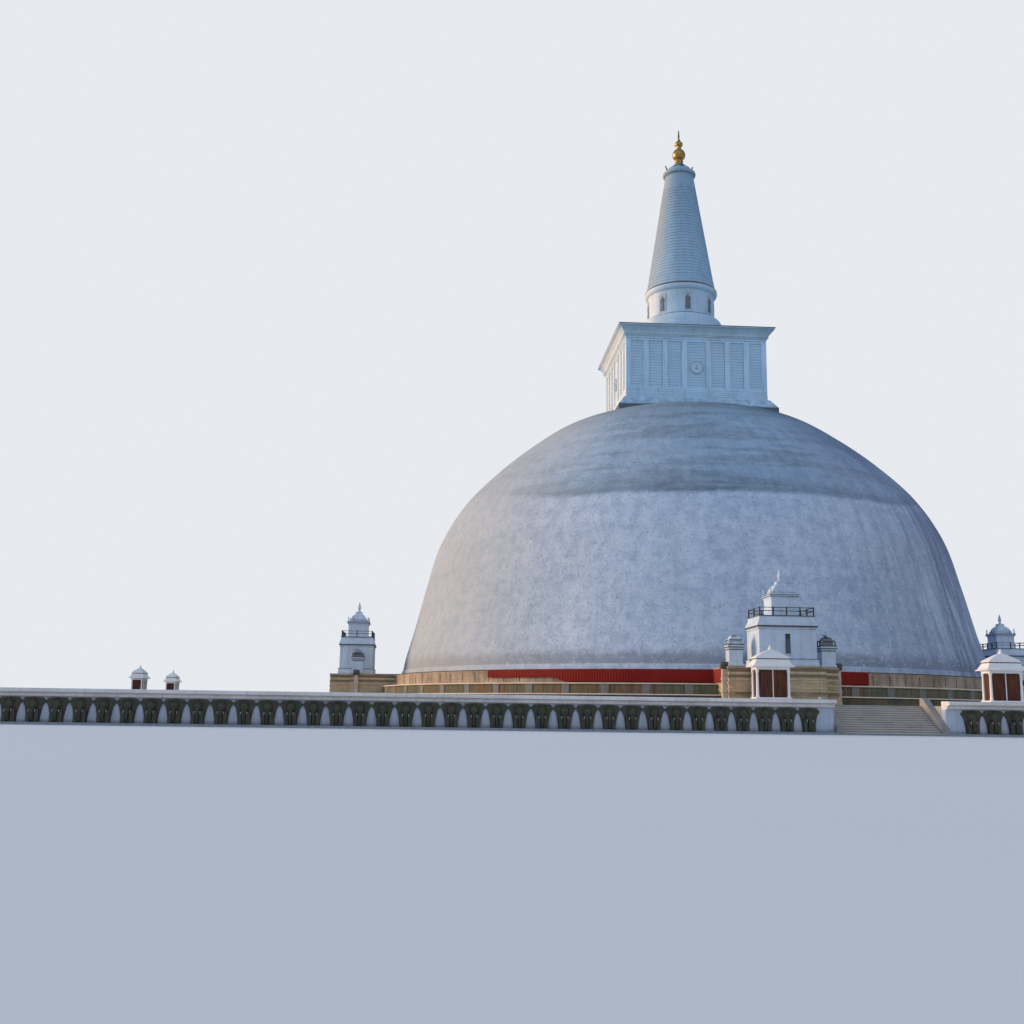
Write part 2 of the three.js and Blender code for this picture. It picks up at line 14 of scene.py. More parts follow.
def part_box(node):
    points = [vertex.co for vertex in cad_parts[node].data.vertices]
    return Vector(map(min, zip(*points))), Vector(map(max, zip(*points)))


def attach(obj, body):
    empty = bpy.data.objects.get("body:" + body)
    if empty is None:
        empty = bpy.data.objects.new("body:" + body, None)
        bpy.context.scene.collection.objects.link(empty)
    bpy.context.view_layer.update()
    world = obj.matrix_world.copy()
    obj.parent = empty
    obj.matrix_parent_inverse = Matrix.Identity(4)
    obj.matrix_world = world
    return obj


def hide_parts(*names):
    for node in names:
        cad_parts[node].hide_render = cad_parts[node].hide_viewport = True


bl_info = {
    "name": "Great Stupa",
    "version": (1, 0, 0),
    "blender": (4, 5, 0),
    "location": "3D View > Sidebar > Stupa",
    "description": "Dresses a packed stupa with whitewash, stone, elephants, rings and gilt",
    "category": "Add Mesh",
}

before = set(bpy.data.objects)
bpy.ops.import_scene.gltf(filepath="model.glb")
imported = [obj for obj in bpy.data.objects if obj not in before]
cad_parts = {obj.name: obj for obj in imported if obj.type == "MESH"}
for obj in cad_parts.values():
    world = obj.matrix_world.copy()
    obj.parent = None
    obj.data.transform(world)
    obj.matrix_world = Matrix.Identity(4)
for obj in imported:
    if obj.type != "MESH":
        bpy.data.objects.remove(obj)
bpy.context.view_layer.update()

BODY = "root"
SIDES = ("front", "right", "back", "left")
HANDS = (("left", -1), ("right", 1))
QUARTER = math.pi / 2
MERGE = 1e-5

# The photograph's camera: where it stands, how it is turned, and its focal length
CAMERA_PLACE = (-3.9102, -18.2709, 0.1508)
CAMERA_YAW = math.radians(3.324)
CAMERA_PITCH = math.radians(10.057)
CAMERA_ROLL = math.radians(0.8005)
CAMERA_LENS = 39.762
CAMERA_SENSOR = 36.0

# Dome: how far its surface lies from its centre, every nine degrees from level upwards
DOME_CENTRE = 0.716
DOME_REACHES = (4.556, 4.440, 4.432, 4.508, 4.530, 4.500, 4.495, 4.520, 4.480)
DOME_STEP = math.radians(9)
DOME_RIM_TOP = 0.762
DOME_RIM_PROUD = 0.012
DOME_ROUND = 4.5
BASAL_ROUND = 4.8

# Height of the plinth's upright side as a share of the whole plinth
PLINTH_EDGE_SHARE = 0.4444

# Elephant wall and stairs
WALL_FACE = 8.430
ELEPHANT_FOOT = 0.0185
ELEPHANT_RISE = 0.206
STAIR_HALF = 0.435
STAIR_RISE = 0.020

# Frontispieces and towers
TOWER_PLACE = 5.280
TURRET_PLACE = 5.230
TURRET_ACROSS = 0.545
STELE_PLACE = 5.240
STELE_ACROSS = 0.668
FRONT_BACK = 4.612
FRONT_HALF = 0.640
FRONT_PLACE = 5.330
CENTRE_HALF = 0.390
CENTRE_PLACE = 5.660
WINDOW_HALF = 0.030
WINDOW_SILL = 0.852
WINDOW_HEAD = 1.080

# Gate pavilions
PAVILION_ACROSS = 1.043
PAVILION_PLACE = 8.400
PAVILION_HALF_X = 0.138
PAVILION_HALF_Y = 0.070
PAVILION_SPREAD = PAVILION_HALF_X - PAVILION_HALF_Y
PAVILION_FLOOR = 0.312
PAVILION_EAVE = 0.575

# Colours of dirt and wear, and of painted shade and painted sunlight, that no setting changes
SOOT = (0.05, 0.05, 0.045)
JOINT_DIRT = (0.035, 0.03, 0.026)
PIT_DIRT = (0.04, 0.04, 0.035)
SHADE_BLUE = (0.20, 0.20, 0.29)
SPLASH_GREY = (0.22, 0.23, 0.27)
CHIP_WHITE = (0.84, 0.85, 0.90)
PAINTED_SHADE_BLUE = (0.40, 0.50, 0.64)
SUNLIT_CREAM = (0.88, 0.84, 0.78)


def length(name, description, default):
    """A size that a user may change, in metres."""
    return bpy.props.FloatProperty(
        name=name, description=description, default=default, min=0.0, precision=4, unit="LENGTH"
    )


def strength(name, description, default):
    """A light's strength that a user may change."""
    return bpy.props.FloatProperty(name=name, description=description, default=default, min=0.0)


def colour(name, description, default):
    """A colour that a user may change."""
    return bpy.props.FloatVectorProperty(
        name=name, description=description, default=default, size=3, min=0.0, max=1.0,
        subtype="COLOR",
    )


def count(name, description, default):
    """A number of like things that a user may change."""
    return bpy.props.IntProperty(name=name, description=description, default=default, min=1)


class StupaStageSettings(bpy.types.PropertyGroup):
    """Floor, background and lights"""

    floor_colour: colour("Floor", "Colour of the plain floor", (0.92, 0.86, 0.79))
    background: colour("Background", "Pale colour behind the model", (0.80, 0.82, 0.86))
    fill_colour: colour("Fill light", "Colour of the light from all round", (0.36, 0.62, 1.0))
    fill_strength: strength("Fill strength", "Strength of the light from all round", 0.60)
    key_colour: colour("Key light", "Colour of the low light from the left", (1.0, 0.70, 0.42))
    key_strength: strength("Key strength", "Strength of the low light from the left", 3.2)


class StupaPlasterSettings(bpy.types.PropertyGroup):
    """Whitewash of the dome and of the parts above and around it"""

    dome_light: colour("Dome, light", "Cleanest whitewash of the dome", (0.68, 0.75, 0.83))
    dome_grey: colour("Dome, grey", "Rain-washed plaster of the dome", (0.38, 0.47, 0.58))
    dome_upper: colour("Dome, upper", "Weathered plaster over the band", (0.28, 0.40, 0.50))
    dome_dark: colour("Dome, dark", "Darkest growth on the plaster", (0.14, 0.18, 0.20))
    band_height: length("Band height", "Lower edge of the dark band round the dome", 3.05)
    course: length("Course", "Height between the faint lines round the dome", 0.062)
    white: colour("Whitewash", "Fresh whitewash of towers and turrets", (0.68, 0.78, 0.89))
    chamber: colour("Chamber whitewash", "Cleanest whitewash, on the chamber", (0.54, 0.77, 0.93))
    drum: colour("Drum whitewash", "Weathered whitewash of cornice and drum", (0.50, 0.65, 0.75))
    spire: colour("Spire whitewash", "Weathered whitewash of the spire", (0.36, 0.52, 0.64))
    gate: colour("Gate whitewash", "Warm whitewash of the gate pavilions", (0.96, 0.89, 0.82))
    # Worn whitewash; as the base of the panel cores, niche backs and niche figures it is painted
    # shade
    worn_and_shade_white: colour("Worn whitewash", "Whitewash in sheltered panels", (0.47, 0.53, 0.58))
    # Dark growth; on the dark strips in recesses and over the tower windows it is painted shade
    moss_and_shade: colour("Ledge growth", "Dark growth on the edges of ledges", (0.085, 0.082, 0.072))


class StupaStoneSettings(bpy.types.PropertyGroup):
    """Stone, paving and painted elephants"""

    basal: colour("Lower terrace", "Dark stone of the lowest round terrace", (0.115, 0.105, 0.080))
    basal_ochre: colour(
        "Lower terrace, ochre", "Ochre patches on the dark stone", (0.20, 0.15, 0.08)
    )
    upper: colour("Upper terrace", "Taupe stone of the uppermost round terrace", (0.70, 0.53, 0.38))
    upper_dark: colour("Upper terrace, dark", "Weathered taupe stone", (0.50, 0.36, 0.25))
    # Pale stone of the terrace lips, made paler as painted sunlight on the ledge tops
    lip: colour("Terrace lip", "Pale edge of the lower terraces", (0.93, 0.75, 0.55))
    panel_brown: colour("Panel, brown", "Orange-brown panels", (0.25, 0.165, 0.09))
    panel_ochre: colour("Panel, olive", "Olive panels", (0.22, 0.185, 0.105))
    panel_green: colour("Panel, green", "Grey-green panels", (0.20, 0.19, 0.11))
    front_brown: colour(
        "Frontispiece", "Brown limestone of the frontispieces", (0.53, 0.395, 0.255)
    )
    front_ochre: colour("Frontispiece, ochre", "Ochre limestone bands", (0.70, 0.545, 0.335))
    stele: colour("Steles", "Grey-brown carved limestone", (0.62, 0.53, 0.43))
    front_dark: colour("Frontispiece, dark", "Dark weathered bands", (0.26, 0.20, 0.13))
    paving: colour("Paving", "Sandstone slabs of the terrace", (0.50, 0.45, 0.37))
    steps: colour("Steps", "Worn granite of the stairs", (0.34, 0.31, 0.27))
    coping: colour("Wall whitewash", "Whitewash of the elephant wall", (0.86, 0.78, 0.72))
    elephant: colour("Elephants", "Dark paint of the elephants", (0.064, 0.064, 0.042))
    elephant_pitch: length("Elephant spacing", "From one elephant to the next", 0.19405)
    first_elephant: length(
        "First elephant", "From the middle of the gate to the first elephant", 0.729
    )


class StupaSpireSettings(bpy.types.PropertyGroup):
    """Rings of the spire, and the gilt pinnacle"""

    rings: count("Rings", "Rings cut round the spire", 31)
    ring_top: length("Top ring", "Height of the top of the ringed stretch", 9.15)
    groove: length("Groove depth", "Depth of the groove between two rings", 0.010)
    gilt: colour("Gilt", "Colour of the gilding", (0.46, 0.29, 0.09))
    copper: colour("Copper", "Green copper of the low cone", (0.10, 0.24, 0.24))


class StupaClothSettings(bpy.types.PropertyGroup):
    """Red cloth hung along the upper round terrace"""

    red: colour("Cloth", "Colour of the cotton", (0.25, 0.012, 0.005))
    folds_a_metre: count("Folds a metre", "Soft folds along each metre of cloth", 28)
    gathered: length("Gathered", "How much higher the hem hangs where the cloth is gathered", 0.06)
    fold_depth: length("Fold depth", "How far a fold stands out", 0.0035)


# Mesh making

def tidied(part):
    """Merge doubles and point faces outwards on a closed part."""
    bmesh.ops.remove_doubles(part, verts=part.verts, dist=MERGE)
    bmesh.ops.recalc_face_normals(part, faces=part.faces)
    return part


def ringed(outline, steps):
    """Turn a closed outline of (radius, height) points round the Z axis."""
    part = bmesh.new()
    verts = [part.verts.new((radius, 0.0, height)) for radius, height in outline]
    edges = [part.edges.new(pair) for pair in zip(verts, verts[1:])]
    bmesh.ops.spin(
        part, geom=verts + edges, axis=(0, 0, 1), cent=(0, 0, 0), angle=2 * math.pi,
        steps=steps, use_merge=True,
    )
    return tidied(part)


def ring(outline, steps):
    """Turn an outline into a ring."""
    return ringed([*outline, outline[0]], steps)


def turned(outline, steps):
    """Turn an outline that the axis closes at its foot and head."""
    return ringed([(0.0, outline[0][1]), *outline, (0.0, outline[-1][1])], steps)


def squared(outline, spread=0.0, hollow=False):
    """Square solid, or hollow frame, with mitred corners, longer along X by the spread."""
    stretched = [(half * math.sqrt(2), height) for half, height in outline]
    part = (ring if hollow else turned)(stretched, 4)
    bmesh.ops.rotate(
        part, verts=part.verts, cent=(0, 0, 0), matrix=Matrix.Rotation(QUARTER / 2, 3, "Z")
    )
    for vert in part.verts:
        if abs(vert.co.x) > MERGE:
            vert.co.x += math.copysign(1.0, vert.co.x) * spread
    return part


def block(low, high, bevel=0.0):
    """Block between two corners, with its edges eased by the bevel."""
    part = bmesh.new()
    bmesh.ops.create_cube(part, size=1.0)
    low, high = Vector(low), Vector(high)
    bmesh.ops.scale(part, vec=high - low, verts=part.verts)
    bmesh.ops.translate(part, vec=(low + high) / 2, verts=part.verts)
    if bevel:
        bmesh.ops.bevel(
            part, geom=part.edges[:], offset=bevel, offset_type="OFFSET", affect="EDGES",
            segments=1, profile=0.5, material=-1,
        )
    return part


def bar(x, half, depths, heights, bevel=0.0):
    """Block round an x, between two depths and two heights."""
    return block((x - half, depths[0], heights[0]), (x + half, depths[1], heights[1]), bevel)


def plate(points, depth):
    """Flat plate in the XZ plane, from (x, z) points, that stands out towards -Y."""
    part = bmesh.new()
    face = part.faces.new([part.verts.new((x, 0.0, z)) for x, z in points])
    grown = bmesh.ops.extrude_face_region(part, geom=[face])
    raised = [item for item in grown["geom"] if isinstance(item, bmesh.types.BMVert)]
    bmesh.ops.translate(part, vec=(0.0, -depth, 0.0), verts=raised)
    return tidied(part)


def tapered(start, end, first, last, sides):
    """Straight bar with a few sides that tapers from one radius to another."""
    part = bmesh.new()
    start, end = Vector(start), Vector(end)
    along = end - start
    bmesh.ops.create_cone(
        part, cap_ends=True, segments=sides, radius1=first, radius2=last, depth=along.length
    )
    turn = Vector((0, 0, 1)).rotation_difference(along).to_matrix().to_4x4()
    bmesh.ops.transform(part, matrix=at(*((start + end) / 2)) @ turn, verts=part.verts)
    return part


def put(target, part, *places):
    """Put a part into a target mesh at each place, and free it."""
    mesh = bpy.data.meshes.new("part")
    part.to_mesh(mesh)
    part.free()
    for place in places or (Matrix(),):
        before = len(target.verts)
        target.from_mesh(mesh)
        target.verts.ensure_lookup_table()
        bmesh.ops.transform(target, matrix=place, verts=target.verts[before:])
    bpy.data.meshes.remove(mesh)


def copies(part, *places):
    """New part that repeats one at each place."""
    made = bmesh.new()
    put(made, part, *places)
    return made


def joined(*parts):
    """Several parts as one."""
    made = bmesh.new()
    for part in parts:
        put(made, part)
    return made


def spin(angle):
    """Turn round the Z axis."""
    return Matrix.Rotation(angle, 4, "Z")


def at(x, y, z=0.0):
    """Move to a place."""
    return Matrix.Translation((x, y, z))


TURNS = tuple(spin(index * QUARTER) for index in range(4))


def corners(x, y):
    """Places at the four corners of a rectangle."""
    return [at(across * x, along * y) for across in (-1, 1) for along in (-1, 1)]


def round_places(number, radius, height=0.0, first=0.0, share=0.5):
    """Evenly spaced places round the axis, from a first angle and a share of the spacing."""
    return [
        spin(first + 2 * math.pi * (index + share) / number) @ at(0, -radius, height)
        for index in range(number)
    ]


def shifted(points, reach, height, rise=1.0):
    """Outline points given from a reach and a height, in shares of a rise."""
    return [(reach + out, height + up * rise) for out, up in points]


def rim(reach, foot, top, depth=0.02):
    """Outline of a thin rim round a wall."""
    return [(reach - depth, foot), (reach, foot), (reach, top), (reach - depth, top)]


def arc(centre_reach, centre_height, reach, rise, first, last, steps):
    """Part of an ellipse as outline points, in degrees up from level."""
    points = []
    for step in range(steps + 1):
        angle = math.radians(first + (last - first) * step / steps)
        points.append(
            (centre_reach + reach * math.cos(angle), centre_height + rise * math.sin(angle))
        )
    return points


def piece(name, part, material, replaces=(), sharp=38):
    """Make a part into a piece that rides on the stupa, smooth up to the sharp angle."""
    mesh = bpy.data.meshes.new(name)
    for face in part.faces:
        face.smooth = True
    part.to_mesh(mesh)
    part.free()
    mesh.set_sharp_from_angle(angle=math.radians(sharp))
    mesh.materials.append(material)
    made = bpy.data.objects.new(name, mesh)
    bpy.context.scene.collection.objects.link(made)
    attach(made, BODY)
    if replaces:
        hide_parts(*replaces)
    return made


def dress(nodes, material):
    """Give CAD nodes a finish."""
    for name in nodes:
        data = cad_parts[name].data
        data.materials.clear()
        data.materials.append(material)


def farthest(node):
    """How far a node's farthest corner lies from the axis."""
    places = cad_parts[node].data.vertices
    return max(math.hypot(place.co.x, place.co.y) for place in places)


# Node trees

class Value:
    """Output of a node, which plain arithmetic turns into further nodes."""

    def __init__(self, net, socket):
        self.net, self.socket = net, socket

    def __add__(self, other):
        return self.net.math("ADD", self, other)

    def __sub__(self, other):
        return self.net.math("SUBTRACT", self, other)

    def __rsub__(self, other):
        return self.net.math("SUBTRACT", other, self)

    def __mul__(self, other):
        return self.net.math("MULTIPLY", self, other)

    def __truediv__(self, other):
        return self.net.math("DIVIDE", self, other)

    def __rtruediv__(self, other):
        return self.net.math("DIVIDE", other, self)


class Net:
    """A node tree that is being wired."""

    def __init__(self, tree):
        self.tree = tree

    def node(self, kind, settings=None, **inputs):
        made = self.tree.nodes.new(kind)
        for name, value in (settings or {}).items():
            setattr(made, name, value)
        for name, value in inputs.items():
            self.feed(made.inputs[name.replace("_", " ")], value)
        return made

    def feed(self, socket, value):
        if isinstance(value, Value):
            self.tree.links.new(value.socket, socket)
        else:
            socket.default_value = value

    def out(self, made, output=0):
        return Value(self, made.outputs[output])

    def fed(self, made, values, first=0, output=0):
        """Feed a node's inputs in order, and give one of its outputs."""
        for socket, value in zip(made.inputs[first:], values):
            self.feed(socket, value)
        return self.out(made, output)

    def math(self, operation, *values):
        return self.fed(self.node("ShaderNodeMath", {"operation": operation}), values)

    def vector(self, operation, *values, **inputs):
        return self.fed(
            self.node("ShaderNodeVectorMath", {"operation": operation}, **inputs), values
        )

    def step(self, value, low, high):
        """0 below low, 1 above high, and smooth between."""
        return self.out(self.node(
            "ShaderNodeMapRange", {"interpolation_type": "SMOOTHSTEP"},
            Value=value, From_Min=low, From_Max=high,
        ))

    def mix(self, share, first, second, blend="MIX"):
        made = self.node("ShaderNodeMix", {"data_type": "RGBA", "blend_type": blend})
        self.feed(made.inputs[0], share)
        pair = [
            value if isinstance(value, Value) else (*value[:3], 1.0) for value in (first, second)
        ]
        return self.fed(made, pair, 6, 2)

    def noise(self, vector, scale, detail=3.0, roughness=0.5):
        return self.out(self.node(
            "ShaderNodeTexNoise", Vector=vector, Scale=scale, Detail=detail, Roughness=roughness
        ))

    def apart(self, vector):
        """X, y and z of a vector."""
        made = self.node("ShaderNodeSeparateXYZ", Vector=vector)
        return [self.out(made, output) for output in range(3)]

    def together(self, x, y, z):
        return self.out(self.node("ShaderNodeCombineXYZ", X=x, Y=y, Z=z))


def wire_patches(net, given):
    """Soft blotches: a mask that covers more as Cover grows."""
    cloud = net.noise(given["Vector"], 1.0 / given["Size"], 6.0, 0.6)
    edge = 1.0 - given["Cover"]
    return {"Mask": net.step(cloud, edge - given["Softness"], edge + given["Softness"])}


def wire_streaks(net, given):
    """Marks left by rain that runs down, round an upright axis or on flat walls."""
    x, y, z = net.apart(given["Vector"])
    level = net.together(x, y, 0.0)
    outward = net.vector("SCALE", net.vector("NORMALIZE", level), Scale=given["Radius"])
    chosen = net.node("ShaderNodeMix", {"data_type": "VECTOR"})
    net.feed(chosen.inputs[0], given["Round"])
    across = net.vector(
        "SCALE", net.fed(chosen, (level, outward), 4, 1), Scale=1.0 / given["Width"]
    )
    lift = net.together(0.0, 0.0, z / given["Length"])
    flow = net.noise(net.vector("ADD", across, lift), 1.0, 4.0, 0.55)
    edge = 1.0 - given["Cover"]
    return {"Mask": net.step(flow, edge - 0.10, edge + 0.12)}


def wire_courses(net, given):
    """Thin level lines at equal heights, which wander a little and fade in places."""
    vector = given["Vector"]
    drift = net.noise(vector, 2.5, 3.0) - 0.5
    moved = drift * given["Wander"] + net.apart(vector)[2]
    turns = net.math("FRACT", moved / given["Course"])
    line = 1.0 - net.step(net.math("PINGPONG", turns, 0.5), 0.0, given["Line"])
    return {"Mask": line * net.step(net.noise(vector, 1.6, 5.0), 0.42, 0.62)}


def wire_grain(net, given):
    """Fine lumps and pits of a hand-laid surface."""
    vector, scale = given["Vector"], 1.0 / given["Size"]
    pits = net.step(net.noise(vector, scale * 2.3, 6.0, 0.7), 0.53, 0.72)
    return {"Height": net.noise(vector, scale, 8.0, 0.62), "Pits": pits}


# Shared effects: what wires each one, and its inputs with their defaults
EFFECTS = {
    "weather_patches": (wire_patches, {"Size": 1.0, "Cover": 0.5, "Softness": 0.1}),
    "rain_streaks": (
        wire_streaks, {"Round": 0.0, "Radius": 1.0, "Width": 0.1, "Length": 1.0, "Cover": 0.5}
    ),
    "level_courses": (wire_courses, {"Course": 0.06, "Line": 0.2, "Wander": 0.01}),
    "surface_grain": (wire_grain, {"Size": 0.05}),
}


def effect_group(name):
    """Node group of a shared effect, made once."""
    if name in bpy.data.node_groups:
        return bpy.data.node_groups[name]
    wire, inputs = EFFECTS[name]
    group = bpy.data.node_groups.new(name, "ShaderNodeTree")
    group.interface.new_socket(name="Vector", in_out="INPUT", socket_type="NodeSocketVector")
    for socket, default in inputs.items():
        made = group.interface.new_socket(
            name=socket, in_out="INPUT", socket_type="NodeSocketFloat"
        )
        made.default_value = default
    net = Net(group)
    sockets = net.node("NodeGroupInput").outputs
    outputs = wire(net, {socket.name: Value(net, socket) for socket in sockets})
    for socket in outputs:
        group.interface.new_socket(name=socket, in_out="OUTPUT", socket_type="NodeSocketFloat")
    net.node("NodeGroupOutput", **outputs)
    return group


class Finish(Net):
    """A material that is being wired, from places on the object."""

    def __init__(self, name, roughness=0.88, metallic=0.0, specular=0.25):
        self.material = bpy.data.materials.new(name)
        self.material.use_nodes = True
        super().__init__(self.material.node_tree)
        self.shader = self.tree.nodes["Principled BSDF"].inputs
        self.shader["Roughness"].default_value = roughness
        self.shader["Metallic"].default_value = metallic
        self.shader["Specular IOR Level"].default_value = specular
        self.place = self.out(self.node("ShaderNodeTexCoord"), "Object")
        self.x, self.y, self.z = self.apart(self.place)

    def effect(self, name, **inputs):
        """Outputs of a shared effect."""
        made = self.node(
            "ShaderNodeGroup", {"node_tree": effect_group(name)}, Vector=self.place, **inputs
        )
        return [Value(self, socket) for socket in made.outputs]

    def patches(self, size, cover, softness):
        return self.effect("weather_patches", Size=size, Cover=cover, Softness=softness)[0]

    def streaks(self, width, run, cover, radius=None):
        """Rain streaks, round the axis where a radius is given."""
        about = {"Round": 1.0, "Radius": radius} if radius else {}
        return self.effect("rain_streaks", Width=width, Length=run, Cover=cover, **about)[0]

    def courses(self, course, line, wander):
        return self.effect("level_courses", Course=course, Line=line, Wander=wander)[0]

    def grain(self, size):
        """Height of the lumps, and the pits."""
        return self.effect("surface_grain", Size=size)

    def outward(self):
        """Level direction away from the axis."""
        return self.vector("NORMALIZE", self.together(self.x, self.y, 0.0))

    def chance(self, number):
        """A chance tone for each whole number."""
        return self.out(
            self.node("ShaderNodeTexWhiteNoise", {"noise_dimensions": "1D"}, W=number), "Value"
        )

    def joints(self, across, course, block_length, width):
        """Joints of coursed blocks."""
        return self.out(self.node(
            "ShaderNodeTexBrick", Vector=self.together(across, self.z, 0.0), Scale=1.0,
            Mortar_Size=width, Mortar_Smooth=0.4, Brick_Width=block_length, Row_Height=course,
        ), "Fac")

    def done(self, surface, height, distance, strength=1.0):
        """Feed the colour, and relief too fine to model."""
        self.feed(self.shader["Base Color"], surface)
        relief = self.node("ShaderNodeBump", Strength=strength, Distance=distance, Height=height)
        self.feed(self.shader["Normal"], self.out(relief))
        return self.material


def scaled(tones, share):
    """A colour made darker or lighter."""
    return [min(1.0, tone * share) for tone in tones]


def dome_plaster(plaster):
    """Weathered whitewash of the dome, with its dark band, drips and level lines, painted shade on
    its right side and a painted warm haze of sunlight on its far left.
    """
    net = Finish("dome_plaster")
    outward = net.outward()
    east = net.apart(outward)[0]
    blotches = net.patches(1.9, 0.50, 0.16)
    mottle = net.patches(0.15, 0.48, 0.15)
    flecks = net.patches(0.030, 0.40, 0.08)
    chips = net.patches(0.045, 0.38, 0.06)
    streaks = net.streaks(0.13, 2.2, 0.50, DOME_ROUND)
    courses = net.courses(plaster.course, 0.16, 0.05)
    flattened = net.vector("MULTIPLY", net.place, (0.34, 0.34, 3.6))
    drifts = net.step(net.noise(flattened, 1.5, 6.0, 0.62), 0.46, 0.60)

    tone = mottle * 0.46 + blotches * 0.30 + streaks * 0.12 + drifts * 0.14
    below = net.mix(tone, plaster.dome_light, plaster.dome_grey)
    tone = drifts * 0.58 + mottle * 0.26 + streaks * 0.10
    over = net.mix(tone, plaster.dome_upper, plaster.dome_dark)

    # The dark band: ragged, higher at the sides and fainter on the left
    ragged = net.noise(net.place, 7.0, 5.0) - 0.5
    wave = net.noise(outward, 1.3, 2.0) - 0.5
    rise = net.step(net.math("ABSOLUTE", east), 0.55, 1.05) * 0.36
    above = net.z - (rise + plaster.band_height + wave * 0.10 + ragged * 0.07)
    upper = net.step(above, -0.025, 0.07)
    far_left = net.step(east, -0.45, -0.95)
    fainter = far_left * -0.75 + 1.0
    surface = net.mix(upper * (blotches * 0.20 + 0.56) * fainter, below, over)
    fade = 1.0 - net.step(above, 0.05, 0.24)
    surface = net.mix(upper * fade * (drifts * 0.40 + 0.46) * fainter, surface, plaster.dome_dark)

    # Painted shade over the right side, broken by streaks and blotches, and the pale drips low on
    # it
    shade = net.step(east, 0.08, 0.85) * (streaks * 0.30 + blotches * 0.30 + 0.44)
    surface = net.mix(shade, surface, SHADE_BLUE)
    drips = net.streaks(0.12, 1.1, 0.42, DOME_ROUND)
    washed = drips * (1.0 - net.step(net.z, 1.6, 2.9)) * net.step(east, 0.45, 0.75)
    surface = net.mix(washed * 0.85, surface, plaster.dome_light)

    # Splashes over the rim, chips, growth round the plinth, flecks, and a painted warm haze of
    # sunlight on the far left
    dry = net.step(ragged * 0.20 + net.z, 0.84, 0.99)
    splash = net.step(net.z, DOME_RIM_TOP + 0.004, DOME_RIM_TOP + 0.020) * (1.0 - dry)
    surface = net.mix(splash * 0.62, surface, SPLASH_GREY)
    surface = net.mix(chips * (upper * -0.26 + 0.44), surface, CHIP_WHITE)
    reach = net.math("SQRT", net.x * net.x + net.y * net.y)
    growth = (1.0 - net.step(reach, 1.75, 2.90)) * (drifts * 0.30 + 0.55)
    surface = net.mix(growth, surface, plaster.dome_dark)
    surface = net.mix(courses * 0.05 + flecks * 0.42, surface, plaster.dome_dark)
    surface = net.mix(far_left * 0.60, surface, (0.42, 0.40, 0.36))
    return net.done(surface, net.grain(0.05)[0] - courses * 0.08, 0.012, 0.7)


def whitewash(name, clean, worn, growth, size, foot=None, shaded_below=None, sunlit_reach=None):
    """Whitewash with wear, runs and specks.

    It is splashed up to the foot, and bluer below a given height as painted shade. The left side is
    tinted cream as painted sunlight, over a distance from its corners.
    """
    net = Finish(name)
    tone = net.patches(size, 0.48, 0.15) * 0.40 + net.patches(size / 9, 0.46, 0.16) * 0.22
    surface = net.mix(tone, clean, worn)
    # Painted shade: bluer below the given height
    if shaded_below is not None:
        below = 1.0 - net.step(net.z, shaded_below, shaded_below + 0.006)
        surface = net.mix(below * 0.75, surface, PAINTED_SHADE_BLUE)
    # Painted sunlight: the left side tinted cream
    if sunlit_reach is not None:
        leftward = net.x * -1.0 - net.math("ABSOLUTE", net.y)
        surface = net.mix(net.step(leftward, 0.0, sunlit_reach) * 0.64, surface, SUNLIT_CREAM)
    dirt = net.streaks(size / 12, size, 0.42) * 0.16
    if foot is not None:
        dirt = dirt + (1.0 - net.step(net.z, foot * 0.25, foot)) * 0.5
    surface = net.mix(dirt, surface, growth)
    lumps, pits = net.grain(size / 20)
    return net.done(net.mix(pits * 0.14, surface, growth), lumps, size / 90, 0.6)


def weathered_stone(name, dark, light, course, block_length, size=0.3):
    """Coursed stone: two tones in patches, joints, lichen and grain."""
    net = Finish(name, 0.92)
    surface = net.mix(net.patches(size, 0.50, 0.12), dark, light)
    around = net.math("ARCTAN2", net.y, net.x) * BASAL_ROUND
    joints = net.joints(around, course, block_length, course * 0.06)
    surface = net.mix(net.streaks(0.07, 0.5, 0.45, BASAL_ROUND) * 0.28, surface, SOOT)
    surface = net.mix(joints * 0.35, surface, JOINT_DIRT)
    lumps, pits = net.grain(size / 12)
    return net.done(net.mix(pits * 0.3, surface, PIT_DIRT), lumps - joints, 0.006, 0.8)


def panel_stone(stone, pitch, first):
    """Plastered panels round the middle terrace, each of its own brown, olive or grey-green."""
    net = Finish("panel_stone", 0.92)
    around = net.math("ARCTAN2", net.x, net.y * -1.0)
    panel = net.math("FLOOR", (around + first) / pitch)
    choice = (net.noise(net.place, 7.0, 4.0, 0.6) - 0.5) * 0.9 + net.chance(panel)
    surface = net.mix(net.step(choice, 0.30, 0.45), stone.panel_green, stone.panel_brown)
    surface = net.mix(net.step(choice, 0.60, 0.75), surface, stone.panel_ochre)
    surface = net.mix(net.streaks(0.03, 0.4, 0.48, BASAL_ROUND) * 0.45, surface, SOOT)
    lumps, pits = net.grain(0.025)
    return net.done(net.mix(pits * 0.3, surface, PIT_DIRT), lumps, 0.006, 0.8)


def banded_stone(stone):
    """Limestone courses of a frontispiece: brown, ochre and dark level bands, with joints."""
    net = Finish("front_stone", 0.92)
    course = 0.0325
    tone = net.chance(net.math("FLOOR", net.z / course))
    bands = tone * 0.36 + 0.31 + (net.noise(net.place, 3.0, 5.0, 0.6) - 0.5) * 0.5
    surface = net.mix(net.step(bands, 0.44, 0.58), stone.front_brown, stone.front_ochre)
    surface = net.mix(1.0 - net.step(bands, 0.34, 0.45), surface, stone.front_dark)
    surface = net.mix(net.patches(0.22, 0.42, 0.10) * 0.30, surface, stone.panel_green)
    joints = net.joints(net.x + net.y, course, 0.085, 0.0016)
    surface = net.mix(joints * 0.45, surface, stone.front_dark)
    lumps, pits = net.grain(0.025)
    return net.done(net.mix(pits * 0.3, surface, PIT_DIRT), lumps - joints, 0.006, 0.8)


